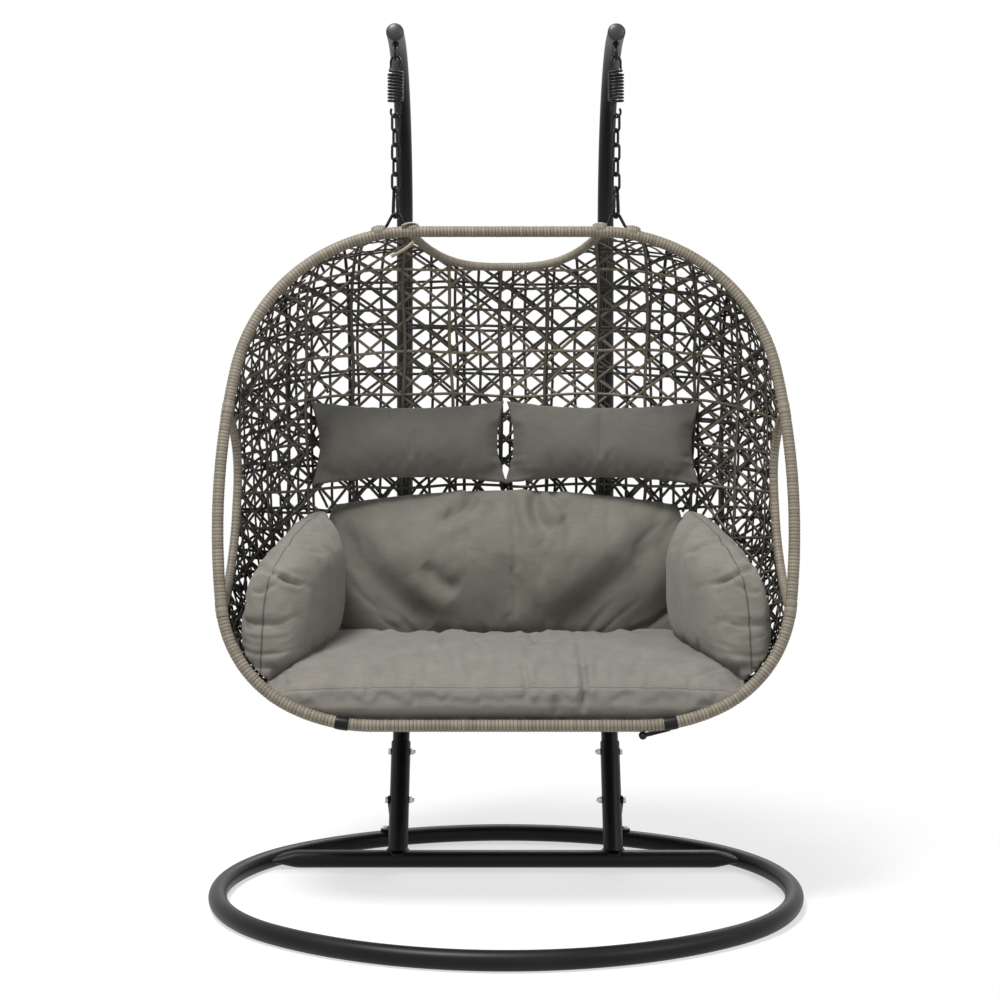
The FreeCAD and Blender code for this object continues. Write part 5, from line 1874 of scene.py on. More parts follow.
@dataclass
class Weave:
    """The open weave: families of flat strands laid on the bowl as straight lines of its flattened skin."""

    finishes: Finishes
    bowl: Bowl
    half_size: float = 1.05
    fine_step: float = 0.004
    step: float = 0.013
    shortest: int = 8
    into_hoop: float = 0.35
    wave: float = 0.0007
    wave_length: float = 0.046
    wander: float = 0.0022
    wander_rate: float = 21.0
    scatter: float = 0.0022
    slant: float = 0.009
    spread: int = 361
    rows: int = 72
    # Painted shade on the strands: where it starts at the sides and low down, how far it grows, and how deep it gets.
    dim_from_x: float = 0.34
    dim_over_x: float = 0.26
    dim_from_z: float = 1.02
    dim_over_z: float = 0.34
    dim: float = 0.55

    def __post_init__(self) -> None:
        """Tables the bowl's points and directions along even meridians."""
        bowl = self.bowl
        shares = np.linspace(0.0, 2.0, self.spread)
        x, t, _ = bowl.outline(shares)
        turns = np.degrees(np.arctan2(x, t - bowl.widest_t))
        self.turns = np.unwrap(turns, period=360.0)
        depths = 1 - np.linspace(0.0, 1.0, 160) ** 3
        centre = vec(0, bowl.back_y, bowl.middle_z)
        grid, lengths = [], []
        for share in shares:
            line = bowl.surface(np.full(len(depths), share), depths)
            end = line[-1] + (bowl.hoop(np.array(share)) - line[-1]) * self.into_hoop
            line = np.vstack([centre, line, end])
            lengths.append(marks_along(line)[-1])
            grid.append(evenly(line, self.rows + 1))
        self.grid, self.lengths = np.array(grid), np.array(lengths)
        around = np.roll(self.grid, -1, axis=0) - np.roll(self.grid, 1, axis=0)
        outwards = np.gradient(self.grid, axis=1)
        normals = np.cross(around, outwards)
        size = np.linalg.norm(normals, axis=2)[..., None]
        normals = np.where(size > 1e-12, normals / np.maximum(size, 1e-12), Y_WAY)
        self.normals = normals * np.sign(normals[:, 3:4, 1:2] + 1e-9)

    def on_bowl(self, flat: Point) -> tuple[Point, Point, Point]:
        """Places on the flattened skin as points on the bowl, their directions and how far out they lie.

        Args:
            flat: The places on the flat skin.

        Returns:
            The points, their directions, and how far out they lie, 1 at the edge.
        """
        turn = np.mod(np.degrees(np.arctan2(flat[:, 0], flat[:, 1])), 360.0)
        at = np.interp(turn, self.turns, np.arange(self.spread))
        column = np.minimum(at.astype(int), self.spread - 2)
        side = (at - column)[:, None]
        length = self.lengths[column] * (1 - side[:, 0]) + self.lengths[column + 1] * side[:, 0]
        out = np.hypot(flat[:, 0], flat[:, 1]) / length
        row_at = np.clip(out, 0.0, 1.0) * self.rows
        row = np.minimum(row_at.astype(int), self.rows - 1)
        up = (row_at - row)[:, None]
        results = []
        for table in (self.grid, self.normals):
            near = table[column, row] * (1 - up) + table[column, row + 1] * up
            far = table[column + 1, row] * (1 - up) + table[column + 1, row + 1] * up
            results.append(near * (1 - side) + far * side)
        normals = results[1] / np.linalg.norm(results[1], axis=1)[:, None]
        return results[0], normals, out

    def strands(self, family: Family, rng: np.random.Generator) -> tuple[list[Point], list[Point], list[Point]]:
        """One family's lines, their directions off the bowl and their tones, which carry painted shade.

        Args:
            family: The family.
            rng: Where its unevenness comes from.

        Returns:
            The lines, the directions and the tones.
        """
        angle = math.radians(family.angle)
        way, across = np.array((math.cos(angle), math.sin(angle))), np.array((-math.sin(angle), math.cos(angle)))
        run = np.arange(-self.half_size, self.half_size, self.fine_step)
        lines, directions, tones = [], [], []
        count = int(self.half_size / family.spacing)
        for number in range(-count, count + 1):
            for shift in family.shifts:
                tone = rng.random()
                phase = rng.random() * math.tau
                lean = rng.normal(0.0, self.slant)
                offset = number * family.spacing + shift + rng.normal(0.0, self.scatter)
                if rng.random() > family.kept:
                    continue
                offsets = offset + lean * run + self.wander * np.sin(run * self.wander_rate + phase)
                flat = run[:, None] * way + offsets[:, None] * across
                points, normals, out = self.on_bowl(flat)
                keep = (out < 1.0) & ~self.bowl.opening(points) & (np.abs(points[:, 0]) >= family.beyond)
                edges = np.flatnonzero(np.diff(np.concatenate([[0], keep.astype(int), [0]])))
                for start, end in zip(edges[::2], edges[1::2]):
                    if end - start < self.shortest:
                        continue
                    marks = np.linspace(start, end - 1, max(3, int((end - start) * self.fine_step / self.step)))
                    picks = np.round(marks).astype(int)
                    lift = family.level + self.wave * np.sin(run[picks] * math.tau / self.wave_length + phase)
                    lines.append(points[picks] + normals[picks] * lift[:, None])
                    directions.append(normals[picks])
                    # Each strand's random tone, times its painted shade.
                    tones.append(tone * self.light(points[picks]))
        return lines, directions, tones

    def light(self, points: Point) -> Point:
        """Painted shade on the strands: a factor that darkens them towards the sides and low down.

        Args:
            points: The points.

        Returns:
            A factor for each.
        """
        side = np.clip((np.abs(points[:, 0]) - self.dim_from_x) / self.dim_over_x, 0.0, 1.0)
        low = np.clip((self.dim_from_z - points[:, 2]) / self.dim_over_z, 0.0, 1.0)
        return (1 - self.dim * side) * (1 - self.dim * low)

    def build(self) -> None:
        """Makes the weave in a few pieces, the light strands apart from the ones behind them and at the sides, which
        are darkened as painted shade.
        """
        rng = np.random.default_rng(SEED)
        tree = StrandTree()
        # dark is the strand finish darkened as painted shade.
        light, dark = self.finishes.strand, self.finishes.dark_strand
        groups = {
            "weave_uprights": (light, 0.0080, (Family(90.0, 0.1196, (0.015,), -0.0021),)),
            "weave_rounds": (light, 0.0068, (Family(0.0, 0.1087, (0.0,), -0.0007),)),
            "weave_diagonals": (light, 0.0070, (Family(39.5, 0.0423, (0.0,), 0.0006),
                                                Family(-39.5, 0.0423, (0.0,), 0.0013))),
            "weave_behind": (dark, 0.0066, (
                Family(90.0, 0.1196, (0.004, -0.0536), 0.0027), Family(90.0, 2.2, (-0.0144,), 0.0034),
                Family(0.0, 0.1087, (0.052, 0.0635), 0.0020), Family(39.5, 0.0423, (0.0078,), 0.0020, 0.62),
                Family(-39.5, 0.0423, (0.0078,), 0.0034, 0.62))),
            # Extra strands at the sides in the painted-shade finish, to darken the sides.
            "weave_sides": (dark, 0.0064, (
                Family(90.0, 0.0598, (0.034,), 0.0041, 0.8, 0.44), Family(62.0, 0.0470, (0.013,), 0.0048, 0.7, 0.42),
                Family(-62.0, 0.0470, (0.013,), 0.0055, 0.7, 0.42), Family(24.0, 0.0520, (0.02,), 0.0062, 0.6, 0.46),
                Family(-24.0, 0.0520, (0.02,), 0.0062, 0.6, 0.46))),
        }
        for name, (finish, width, families) in groups.items():
            lines, directions, tones = [], [], []
            for family in families:
                for rows, more in zip((lines, directions, tones), self.strands(family, rng)):
                    rows.extend(more)
            guide = guide_mesh(name + "_lines", lines, numbers={"tone": tones}, vectors={"outward": directions})
            mesh = tree.mesh(name, guide, finish, {"Width": width})
            piece(name, mesh, "basket", finish, *(("basket_weave",) if name == "weave_rounds" else ()))


@dataclass(frozen=True)
class Fold:
    """A seam, crease or pucker: a soft groove along a line of (x, z) points seen from the front."""

    line: tuple[tuple[float, float], ...]
    depth: float
    width: float
    ridge: float = 0.0


@dataclass(frozen=True)
class Pad:
    """One cushion of two panels sewn together round their edge.

    The panels map (u, v), both from -1 to 1, to points; they meet where u or v is -1 or 1.
    """

    name: str
    node: str
    front: Callable[[Point, Point], Point]
    rear: Callable[[Point, Point], Point]
    size: tuple[float, float]
    fill: float
    folds: tuple[Fold, ...] = ()
    pucker: float = 0.0022
    cap: float = 0.012
    pressure: float = 4.0
    grown: float = 0.05


def plump(u: Point, v: Point, along: float = 3.0, across: float = 2.4) -> Point:
    """How far a stuffed panel stands off its seam, from 0 at the seam to 1 in the middle."""
    return np.sqrt(np.clip((1 - np.abs(u) ** along) * (1 - np.abs(v) ** across), 0.0, 1.0))


def blurred(grid: Point, reach: float) -> Point:
    """A grid of vectors, each averaged with its neighbours within about reach cells.

    Args:
        grid: The vectors, by row and column.
        reach: How far the average reaches, in cells.

    Returns:
        The softened grid.
    """
    wide = int(3 * reach)
    weights = np.exp(-(np.arange(-wide, wide + 1) / reach) ** 2 / 2)
    weights /= weights.sum()
    for axis in (0, 1):
        sides = [(0, 0)] * grid.ndim
        sides[axis] = (wide, wide)
        padded = np.moveaxis(np.pad(grid, sides, mode="edge"), axis, 0)
        count = grid.shape[axis]
        grid = np.moveaxis(sum(w * padded[k:k + count] for k, w in enumerate(weights)), 0, axis)
    return grid


def ripple(run: Point, rng: np.random.Generator) -> Point:
    """An uneven wave along a seam, in metres, from 0 to 1, with narrow crests.

    Args:
        run: How far along the seam each point lies.
        rng: Where its phases come from.

    Returns:
        The wave's height at each point.
    """
    wave = np.zeros_like(run)
    for length in (0.110, 0.067, 0.043, 0.031, 0.023):
        wave += np.sin(run * (math.tau / length) + rng.random() * math.tau)
    return np.clip(wave / 5 + 0.35, 0.0, 1.0) ** 2


@dataclass
class Cushions:
    """The stuffed pieces: two sewn panels each, swollen by a cloth simulation, with their seams and creases."""

    finishes: Finishes
    bowl: Bowl
    cell: float = 0.0085
    frames: int = 20
    reach: float = 5.0
    wrinkle: float = 0.006
    clearance: float = 0.006
    stitched: float = 0.0024

    def __post_init__(self) -> None:
        """Makes a rough skin of the bowl, to hold the cushions in."""
        shares, depths = np.linspace(0.0, 2.0, 181), 1 - np.linspace(0.0, 1.0, 60) ** 2
        grid = self.bowl.surface(*np.meshgrid(shares, depths, indexing="ij"))
        rows, columns = grid.shape[:2]
        faces = []
        for i in range(rows - 1):
            for j in range(columns - 1):
                corner = i * columns + j
                faces.append((corner, corner + 1, corner + columns + 1, corner + columns))
        self.skin = BVHTree.FromPolygons([tuple(p) for p in grid.reshape(-1, 3)], faces)
        self.centre = vec(0, self.bowl.hang_y, self.bowl.middle_z)

    def inside(self, points: Point) -> Point:
        """The points, with those outside the bowl or too near its skin moved in to the clearance.

        Args:
            points: The cushion's points.

        Returns:
            The held points.
        """
        held = points.copy()
        for i, point in enumerate(points):
            spot, way, _, away = self.skin.find_nearest(point)
            if spot is None:
                continue
            spot, way = np.array(spot), np.array(way)
            if way.dot(self.centre - spot) < 0:
                way = -way
            depth = (point - spot).dot(way)
            if depth < self.clearance and away < 0.12:
                held[i] = point + way * (self.clearance - depth)
        return held

    def tables(self, pad: Pad) -> tuple[Point, Point, Point, Point, Point]:
        """u, v and whether each point is on the seam, and the vertex numbers of the front and the rear panel.

        Args:
            pad: The cushion.

        Returns:
            The five tables.
        """
        columns, rows = (int(round(length / self.cell)) for length in pad.size)
        u, v = np.meshgrid(np.linspace(-1, 1, columns + 1), np.linspace(-1, 1, rows + 1), indexing="ij")
        edge = (np.abs(u) == 1) | (np.abs(v) == 1)
        front = np.arange(u.size).reshape(u.shape)
        rear = front.copy()
        rear[~edge] = u.size + np.arange(int((~edge).sum()))
        return u, v, edge, front, rear

    def sewn(self, pad: Pad) -> Mesh:
        """The pad's two panels as one closed even mesh that carries u, v and where the seam is.

        Args:
            pad: The cushion.

        Returns:
            The mesh.
        """
        u, v, edge, front, rear = self.tables(pad)
        points = np.vstack([pad.front(u, v).reshape(-1, 3), pad.rear(u, v)[~edge]])
        faces = []
        for table in (front, rear[:, ::-1]):
            corners = (table[:-1, :-1], table[1:, :-1], table[1:, 1:], table[:-1, 1:])
            faces += np.stack(corners, axis=-1).reshape(-1, 4).tolist()
        mesh = bpy.data.meshes.new(pad.name)
        mesh.from_pydata(points.tolist(), [], faces)
        for key, grid in (("u", u), ("v", v), ("seam", edge.astype(float))):
            carry(mesh, key, np.concatenate([grid.ravel(), grid[~edge]]))
        outward = bmesh.new()
        outward.from_mesh(mesh)
        bmesh.ops.recalc_face_normals(outward, faces=outward.faces)
        outward.to_mesh(mesh)
        outward.free()
        return mesh

    def apply(self, obj: Object) -> None:
        """Makes the object's modifiers part of its mesh.

        Args:
            obj: The object.
        """
        graph = bpy.context.evaluated_depsgraph_get()
        mesh = bpy.data.meshes.new_from_object(obj.evaluated_get(graph))
        obj.modifiers.clear()
        obj.data = mesh

    def read(self, mesh: Mesh, what: str) -> Point:
        """The vertices' places ("co") or directions ("normal").

        Args:
            mesh: The mesh.
            what: Which of the two.

        Returns:
            One row for each vertex.
        """
        rows = np.empty(len(mesh.vertices) * 3)
        mesh.vertices.foreach_get(what, rows)
        return rows.reshape(-1, 3)

    def stored(self, mesh: Mesh, key: str) -> Point:
        """A number that the vertices carry.

        Args:
            mesh: The mesh.
            key: The number's name.

        Returns:
            One number for each vertex.
        """
        rows = np.empty(len(mesh.vertices), np.float32)
        mesh.attributes[key].data.foreach_get("value", rows)
        return rows.astype(float)

    def swell(self, obj: Object, pad: Pad) -> None:
        """Swells the object by a short cloth simulation: its wrinkles stay, its swelling is held within the cap.

        Args:
            obj: The cushion's object.
            pad: What it is made to.
        """
        mesh = obj.data
        _, _, edge, front, rear = self.tables(pad)
        start = self.read(mesh, "co")
        obj.vertex_groups.new(name="seam").add(front[edge].tolist(), 1.0, "REPLACE")
        cloth = obj.modifiers.new("cloth", "CLOTH")
        settings = cloth.settings
        settings.quality = 5
        settings.use_pressure = True
        settings.uniform_pressure_force = pad.pressure
        settings.effector_weights.gravity = 0.0
        settings.vertex_group_mass = "seam"
        settings.shrink_min = -pad.grown
        settings.tension_stiffness = 14.0
        settings.compression_stiffness = 9.0
        settings.bending_stiffness = 0.15
        cloth.collision_settings.use_collision = False
        scene = bpy.context.scene
        for frame in range(1, self.frames + 1):
            scene.frame_set(frame)
        self.apply(obj)
        scene.frame_set(1)
        moved = self.read(obj.data, "co") - start
        LOG.info("%s swells by up to %.1f mm before the cap", pad.name, 1000 * np.linalg.norm(moved, axis=1).max())
        result = moved.copy()
        for table in (front, rear):
            smooth = blurred(moved[table], self.reach)
            far = np.linalg.norm(smooth, axis=-1, keepdims=True)
            wrinkle = np.clip(moved[table] - smooth, -self.wrinkle, self.wrinkle)
            result[table] = smooth * np.minimum(1.0, pad.cap / np.maximum(far, 1e-9)) + wrinkle
        result[front[edge]] = moved[front[edge]]
        obj.data.vertices.foreach_set("co", (start + result).ravel())

    def gathered(self, mesh: Mesh, pad: Pad, rng: np.random.Generator) -> Point:
        """How far the fabric dips in gathers that run off the seams.

        Args:
            mesh: The mesh.
            pad: The cushion.
            rng: Where the gathers come from.

        Returns:
            A depth for each vertex.
        """
        u, v = self.stored(mesh, "u"), self.stored(mesh, "v")
        wide, high = pad.size[0] / 2, pad.size[1] / 2
        dip = np.zeros(len(u))
        for run, away in ((u * wide, (1 - np.abs(v)) * high), (v * high, (1 - np.abs(u)) * wide)):
            fewer = np.where(v > 0.2, 0.1, 1.0)
            dip += pad.pucker * fewer * ripple(run, rng) * np.exp(-(away / 0.045) ** 1.3)
        return dip

    def pressed(self, places: Point, ways: Point, folds: tuple[Fold, ...]) -> Point:
        """How far each point moves along its own direction for the folds in the faces that look to the front.

        Args:
            places: The points.
            ways: Their directions.
            folds: The folds.

        Returns:
            A move for each point.
        """
        share = np.clip(-ways[:, 1] * 2.5, 0.0, 1.0)
        flat = places[:, (0, 2)]
        move = np.zeros(len(places))
        for fold in folds:
            near, along = np.full(len(places), 1e9), np.zeros(len(places))
            corners = smoothed(np.array([(x, 0.0, z) for x, z in fold.line]), 5)[:, (0, 2)]
            total = len(corners) - 1
            for i in range(total):
                start, run = corners[i], corners[i + 1] - corners[i]
                part = np.clip(((flat - start) @ run) / (run @ run), 0.0, 1.0)
                away = np.linalg.norm(flat - start - part[:, None] * run, axis=1)
                closer = away < near
                near[closer], along[closer] = away[closer], (i + part[closer]) / total
            fade = np.clip(np.minimum(along, 1 - along) * 5.0, 0.0, 1.0) ** 0.7
            groove = np.exp(-(near / fold.width) ** 2)
            bank = np.exp(-((near - 2.0 * fold.width) / (1.2 * fold.width)) ** 2)
            move += fade * (fold.ridge * bank - fold.depth * groove)
        return move * share

    def make(self, pad: Pad, finish: Finish) -> None:
        """Makes one cushion: sewn, swollen, subdivided, held in the bowl and creased.

        Args:
            pad: The cushion.
            finish: Its cloth.
        """
        rng = np.random.default_rng(SEED + len(pad.name))
        obj = linked(pad.name, self.sewn(pad))
        self.swell(obj, pad)
        level = obj.modifiers.new("level", "SUBSURF")
        level.levels = level.render_levels = 1
        self.apply(obj)
        mesh = obj.data
        places, ways = self.read(mesh, "co"), self.read(mesh, "normal")
        move = self.pressed(places, ways, pad.folds) - self.gathered(mesh, pad, rng)
        move -= self.stitched * self.stored(mesh, "seam") ** 2
        mesh.vertices.foreach_set("co", self.inside(places + ways * move[:, None]).ravel())
        mesh.shade_smooth()
        mesh.materials.clear()
        mesh.materials.append(finish.material)
        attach(obj, "basket")
        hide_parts(pad.node)
        LOG.info("%s: %d faces", pad.name, len(mesh.polygons))

    def seat(self) -> Pad:
        """The wide seat cushion: a crowned top, and a lower panel that drops at the front and lies in the bowl.

        Returns:
            The cushion.
        """
        rows = np.array(((-1.0, -0.170, 0.527, 0.470), (-0.4, -0.020, 0.512, 0.490), (0.3, 0.130, 0.468, 0.505),
                         (1.0, 0.280, 0.415, 0.520)))
        profile = np.array(((0.0, 0.0, 0.0), (0.018, -0.013, -0.013), (0.045, -0.020, -0.040), (0.070, -0.014, -0.068),
                            (0.100, 0.012, -0.090), (0.170, 0.080, -0.099), (0.340, 0.240, -0.088),
                            (0.480, 0.370, -0.045), (0.560, 0.445, 0.0)))

        def base(u: Point, v: Point) -> Point:
            """The seam's own surface, flat between the edges."""
            y, half, seam = (np.interp(v, rows[:, 0], rows[:, k]) for k in (1, 2, 3))
            front = np.clip(-v, 0.0, 1.0)
            return np.stack([u * half, y - 0.014 * (1 - u ** 2) * front, seam + 0.014 * (1 - u ** 4) * front], axis=-1)

        def top(u: Point, v: Point) -> Point:
            """The crowned upper panel."""
            return base(u, v) + Z_WAY * (0.032 * plump(u, v, 6.0, 3.0))[..., None]

        def below(u: Point, v: Point) -> Point:
            """The lower panel, along the profile."""
            run = (v + 1) / 2 * profile[-1, 0]
            ahead, drop = (np.interp(run, profile[:, 0], profile[:, k]) for k in (1, 2))
            start, end = base(u, -np.ones_like(v)), base(u, np.ones_like(v))
            points = start + (end - start) * (ahead / profile[-1, 1])[..., None]
            return points + Z_WAY * (drop * (1 - u ** 4) ** 0.4)[..., None]

        folds = (Fold(((0.160, 0.575), (0.165, 0.520), (0.166, 0.486), (0.161, 0.430)), 0.012, 0.008, 0.003),
                 Fold(((0.030, 0.540), (0.045, 0.486), (0.042, 0.460)), 0.005, 0.007, 0.002),
                 Fold(((-0.300, 0.520), (-0.292, 0.487), (-0.296, 0.455)), 0.005, 0.008, 0.002),
                 Fold(((-0.190, 0.500), (-0.196, 0.478), (-0.190, 0.448)), 0.003, 0.007, 0.001),
                 Fold(((0.100, 0.470), (0.104, 0.440), (0.098, 0.420)), 0.006, 0.010, 0.002),
                 Fold(((-0.480, 0.505), (-0.470, 0.487), (-0.478, 0.465)), 0.004, 0.007, 0.001))
        return Pad("seat_pad", "seat_cushion", top, below, (1.03, 0.52), 0.8, folds)

    def back(self) -> Pad:
        """The back cushion that leans in the bowl behind the seat.

        Returns:
            The cushion.
        """
        def base(u: Point, v: Point) -> Point:
            """The surface that the seam lies in."""
            rise = (v + 1) / 2
            half = 0.425 + 0.022 * np.sin(rise * math.pi)
            z = 0.498 + (0.374 - 0.040 * u ** 2) * rise
            return np.stack([u * half, 0.300 + 0.062 * rise - 0.030 * u ** 2 * (1 - rise), z], axis=-1)

        def front(u: Point, v: Point) -> Point:
            """The front panel, fuller above and hollow towards its upper corners."""
            fullness = 0.042 + 0.046 * np.clip((v + 1.0) / 1.5, 0.0, 1.0) ** 1.5
            hollow = sum(deep * np.clip((flip * 0.9 * u - 0.75 * v - 0.5) / 0.55, 0.0, 1.0) ** 1.5
                         for flip, deep in ((1, 0.030), (-1, 0.014)))
            return base(u, v) - Y_WAY * ((fullness - hollow) * plump(u, v, 4.0, 2.4))[..., None]

        def rear(u: Point, v: Point) -> Point:
            """The rear panel."""
            return base(u, v) + Y_WAY * (0.060 * plump(u, v, 4.0, 2.4))[..., None]

        folds = (Fold(((-0.165, 0.800), (-0.120, 0.812), (-0.085, 0.838), (-0.070, 0.862)), 0.013, 0.015, 0.007),
                 Fold(((0.078, 0.872), (0.072, 0.838), (0.082, 0.800), (0.108, 0.770)), 0.015, 0.016, 0.007),
                 Fold(((0.105, 0.872), (0.122, 0.840), (0.150, 0.822)), 0.011, 0.012, 0.005),
                 Fold(((0.108, 0.545), (0.200, 0.610), (0.300, 0.700), (0.398, 0.800)), 0.013, 0.040, 0.006),
                 Fold(((-0.190, 0.700), (-0.150, 0.655), (-0.105, 0.640)), 0.011, 0.022, 0.005),
                 Fold(((-0.395, 0.780), (-0.330, 0.690), (-0.240, 0.600), (-0.180, 0.545)), 0.014, 0.040, 0.006),
                 Fold(((-0.045, 0.560), (0.000, 0.640), (0.010, 0.720)), 0.004, 0.040, 0.003))
        return Pad("back_pad", "back_cushion", front, rear, (0.88, 0.38), 0.7, folds, 0.0016, 0.014, 4.0, 0.022)

    def bolster(self, side: Side) -> Pad:
        """A side cushion that stands along the side of the bowl, its seam towards the front.

        Args:
            side: Which side it is on.

        Returns:
            The cushion.
        """
        flip = side.value

        def base(u: Point, v: Point) -> Point:
            """The surface that the seam lies in, on the right."""
            back, rise = (u + 1) / 2, (v + 1) / 2
            low = 0.467 + 0.045 * back
            high = 0.716 + 0.130 * (1 - np.exp(-2 * back))
            x = 0.529 - 0.004 * (1 - v ** 2) - 0.105 * back - 0.024 * rise ** 4 * (1 - back)
            y = -0.115 + 0.350 * back + 0.020 * rise ** 4 * (1 - back)
            return np.stack([x, y, low + (high - low) * rise], axis=-1)

        def placed(points: Point) -> Point:
            """The points on the cushion's own side."""
            return points * (flip, 1, 1)

        def inner(u: Point, v: Point) -> Point:
            """The panel towards the sitter."""
            return placed(base(u, v) + plump(u, v, 3.0, 3.0)[..., None] * vec(-0.066, -0.020, 0))

        def outer(u: Point, v: Point) -> Point:
            """The panel towards the bowl."""
            ahead = np.exp(-((u + 1) / 0.4) ** 2)[..., None]
            way = vec(0.050, 0.004, 0.004) - ahead * Y_WAY * 0.012
            return placed(base(u, v) + plump(u, v, 9.0, 5.0)[..., None] * way)

        creases = ((((0.440, 0.684), (0.475, 0.700), (0.505, 0.716), (0.535, 0.720), (0.560, 0.700)),
                    0.010, 0.0048, 0.004),
                   (((0.400, 0.742), (0.436, 0.760), (0.468, 0.774), (0.490, 0.768)), 0.007, 0.0050, 0.003),
                   (((0.500, 0.692), (0.525, 0.677), (0.545, 0.672)), 0.006, 0.005, 0.002),
                   (((0.525, 0.520), (0.490, 0.508), (0.455, 0.520)), 0.005, 0.010, 0.002),
                   (((0.560, 0.600), (0.520, 0.607), (0.480, 0.600)), 0.003, 0.010, 0.002))
        folds = tuple(Fold(tuple((x * flip, z) for x, z in line), *sizes) for line, *sizes in creases)
        return Pad(side.word + "_side_pad", side.word + "_bolster", inner, outer, (0.37, 0.36), 0.8, folds)

    def pillow(self, side: Side) -> Pad:
        """A small head pillow, nearly flat at its seam and pointed at its corners.

        Args:
            side: Which side it is on.

        Returns:
            The cushion.
        """
        lean, turn = math.radians(12.0), math.radians(9.0)
        middle = vec(0.230, 0.334, 0.979)
        width, height = 0.480, 0.212
        along = vec(math.cos(turn), -math.sin(turn), 0)
        up = vec(math.sin(lean) * math.sin(turn), math.sin(lean) * math.cos(turn), math.cos(lean))
        forward = np.cross(along, up)

        def placed(u: Point, v: Point, stand: float) -> Point:
            """A panel that stands off the seam's plane by up to stand."""
            x = u * width / 2 * (1 - 0.09 * (1 - v ** 2))
            z = v * height / 2 * (1 - 0.16 * (1 - u ** 2))
            thick = stand * plump(u, v, 2.2, 2.0)
            points = middle + x[..., None] * along + z[..., None] * up + thick[..., None] * forward
            return points * (side.value, 1, 1)

        def front(u: Point, v: Point) -> Point:
            """The front panel."""
            return placed(u, v, 0.034)

        def rear(u: Point, v: Point) -> Point:
            """The rear panel."""
            return placed(u, v, -0.030)

        return Pad(side.word + "_pillow", side.word + "_head_pillow", front, rear, (width, height), 0.7, (), 0.003,
                   0.020, 5.0, 0.03)

    def build(self) -> None:
        """Makes all the cushions."""
        self.make(self.seat(), self.finishes.seat)
        self.make(self.back(), self.finishes.back)
        for side in Side:
            self.make(self.bolster(side), self.finishes.side)
            self.make(self.pillow(side), self.finishes.pillow)


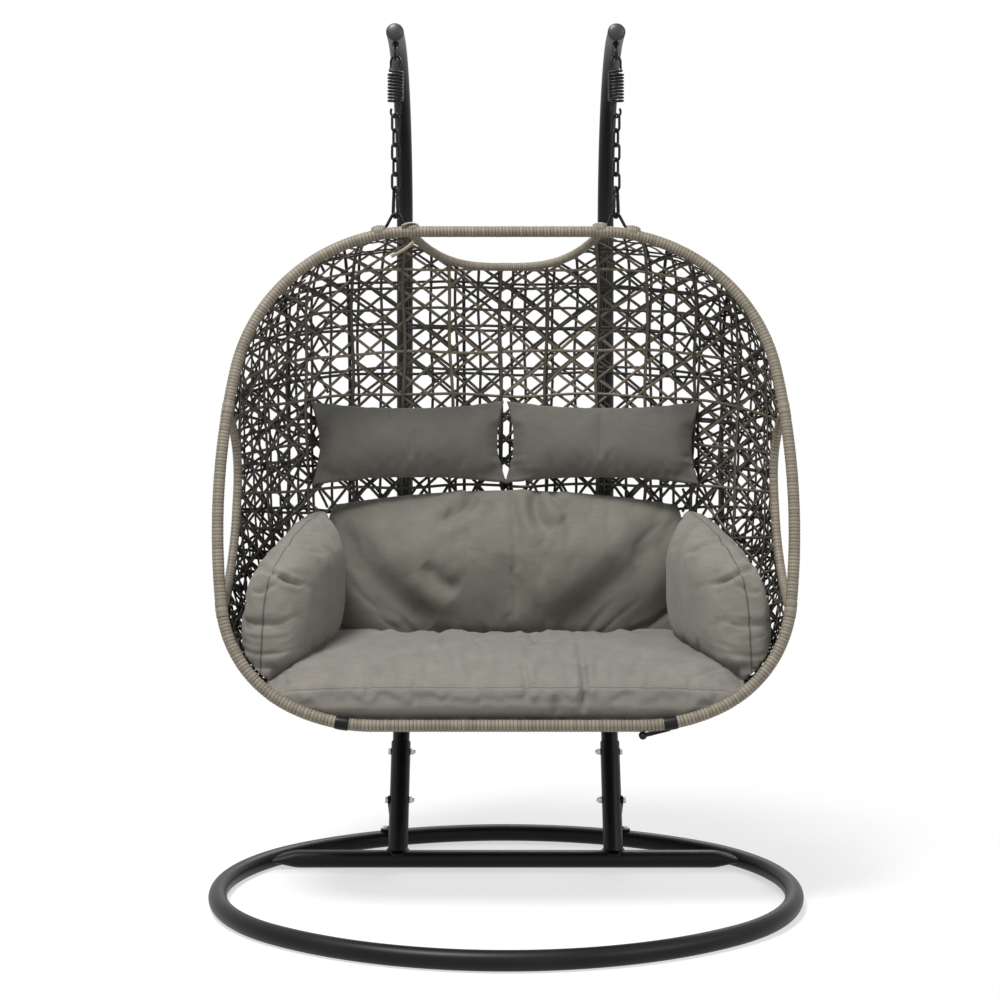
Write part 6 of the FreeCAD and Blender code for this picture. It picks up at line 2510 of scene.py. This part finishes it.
@dataclass
class Studio:
    """The floor, the light and the camera."""

    camera_x: float = -0.013
    camera_y: float = -4.16
    camera_z: float = 1.157
    lens: float = 67.9
    shift: float = -0.132
    shadow_reach: float = 0.6
    ambient: float = 0.29

    def floor(self) -> None:
        """A plain pale floor that keeps the shadow."""
        mesh = bpy.data.meshes.new("floor")
        corners = [(x, y, -0.0006) for x, y in ((-30, -12), (30, -12), (30, 60), (-30, 60))]
        mesh.from_pydata(corners, [], [(0, 1, 2, 3)])
        floor = linked("floor", mesh)
        shader = Shader("pale_floor")
        x, y, _ = shader.parts(shader.place())
        away = (x * x + (y - 0.2) * (y - 0.2)).power(0.5)
        spread = away.within(self.shadow_reach, 2.2 * self.shadow_reach)
        grain = shader.cloud(shader.place(), 40.0)
        shader.finish(Base_Color=shader.blend(grain, (0.86, 0.86, 0.86, 1.0), (0.88, 0.88, 0.88, 1.0)),
                      Roughness=0.9, Specular_IOR_Level=0.0)
        glow = shader.node("ShaderNodeEmission", {}, {"Color": (1, 1, 1, 1), "Strength": 1.0}, 0)
        path = shader.tree.nodes.new("ShaderNodeLightPath")
        seen = Sum(shader, path.outputs["Is Camera Ray"]) + Sum(shader, path.outputs["Is Glossy Ray"])
        seen = seen + Sum(shader, path.outputs["Is Transmission Ray"])
        share = seen.within(0.0, 1.0) * (spread * 0.4 + 0.6)
        mixed = shader.node("ShaderNodeMixShader", {}, {0: share, 1: Sum(shader, shader.surface.outputs[0]), 2: glow})
        output = shader.tree.nodes["Material Output"]
        shader.tree.links.new(mixed.socket, output.inputs["Surface"])
        mesh.materials.append(shader.material)

    def world(self) -> None:
        """White where the camera sees it, softer as a light."""
        world = bpy.data.worlds.new("studio")
        bpy.context.scene.world = world
        world.use_nodes = True
        tree = world.node_tree
        background = tree.nodes["Background"]
        background.inputs["Color"].default_value = (1, 1, 1, 1)
        path = tree.nodes.new("ShaderNodeLightPath")
        strength = None
        for ray in ("Is Camera Ray", "Is Transmission Ray", "Is Glossy Ray"):
            most = tree.nodes.new("ShaderNodeMath")
            most.operation = "MAXIMUM"
            tree.links.new(path.outputs[ray], most.inputs[0])
            most.inputs[1].default_value = self.ambient
            if strength:
                tree.links.new(strength, most.inputs[1])
            strength = most.outputs[0]
        tree.links.new(strength, background.inputs["Strength"])

    def lamp(self, name: str, place: Point, aim: Point, size: float, power: float) -> None:
        """One soft area light.

        Args:
            name: Its name.
            place: Where it stands.
            aim: What it looks at.
            size: Its width.
            power: Its watts.
        """
        data = bpy.data.lights.new(name, "AREA")
        data.shape = "DISK"
        data.size = size
        data.energy = power
        lamp = linked(name, data)
        lamp.location = place
        lamp.rotation_euler = Vector(aim - place).to_track_quat("-Z", "Y").to_euler()

    def build(self) -> None:
        """Sets the stage."""
        bpy.context.scene.view_settings.view_transform = "Standard"
        self.floor()
        self.world()
        aim = vec(0, 0.1, 1.0)
        self.lamp("key", vec(-1.5, -1.7, 5.2), aim, 1.8, 350.0)
        self.lamp("fill", vec(3.4, -2.6, 2.8), aim, 2.6, 60.0)
        self.lamp("rim", vec(0.6, 3.4, 3.6), aim, 2.0, 90.0)
        data = bpy.data.cameras.new("camera")
        data.lens = self.lens
        data.sensor_width = 36.0
        data.shift_y = self.shift
        camera = linked("camera", data)
        camera.location = (self.camera_x, self.camera_y, self.camera_z)
        camera.rotation_euler = (math.pi / 2, 0, 0)
        bpy.context.scene.camera = camera


def main() -> None:
    """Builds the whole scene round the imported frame."""
    logging.basicConfig(level=logging.INFO, format="%(message)s")
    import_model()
    finishes = Finishes()
    stand = Stand(finishes)
    stand.build()
    hangers = Hangers(finishes, stand)
    hangers.build()
    bowl = Bowl(hangers.hang_y, hangers.apex_z - STAPLE_RISE)
    BasketFrame(finishes, bowl, hangers.apex_z).build()
    Weave(finishes, bowl).build()
    Cushions(finishes, bowl).build()
    Studio().build()


if __name__ == "__main__":
    main()
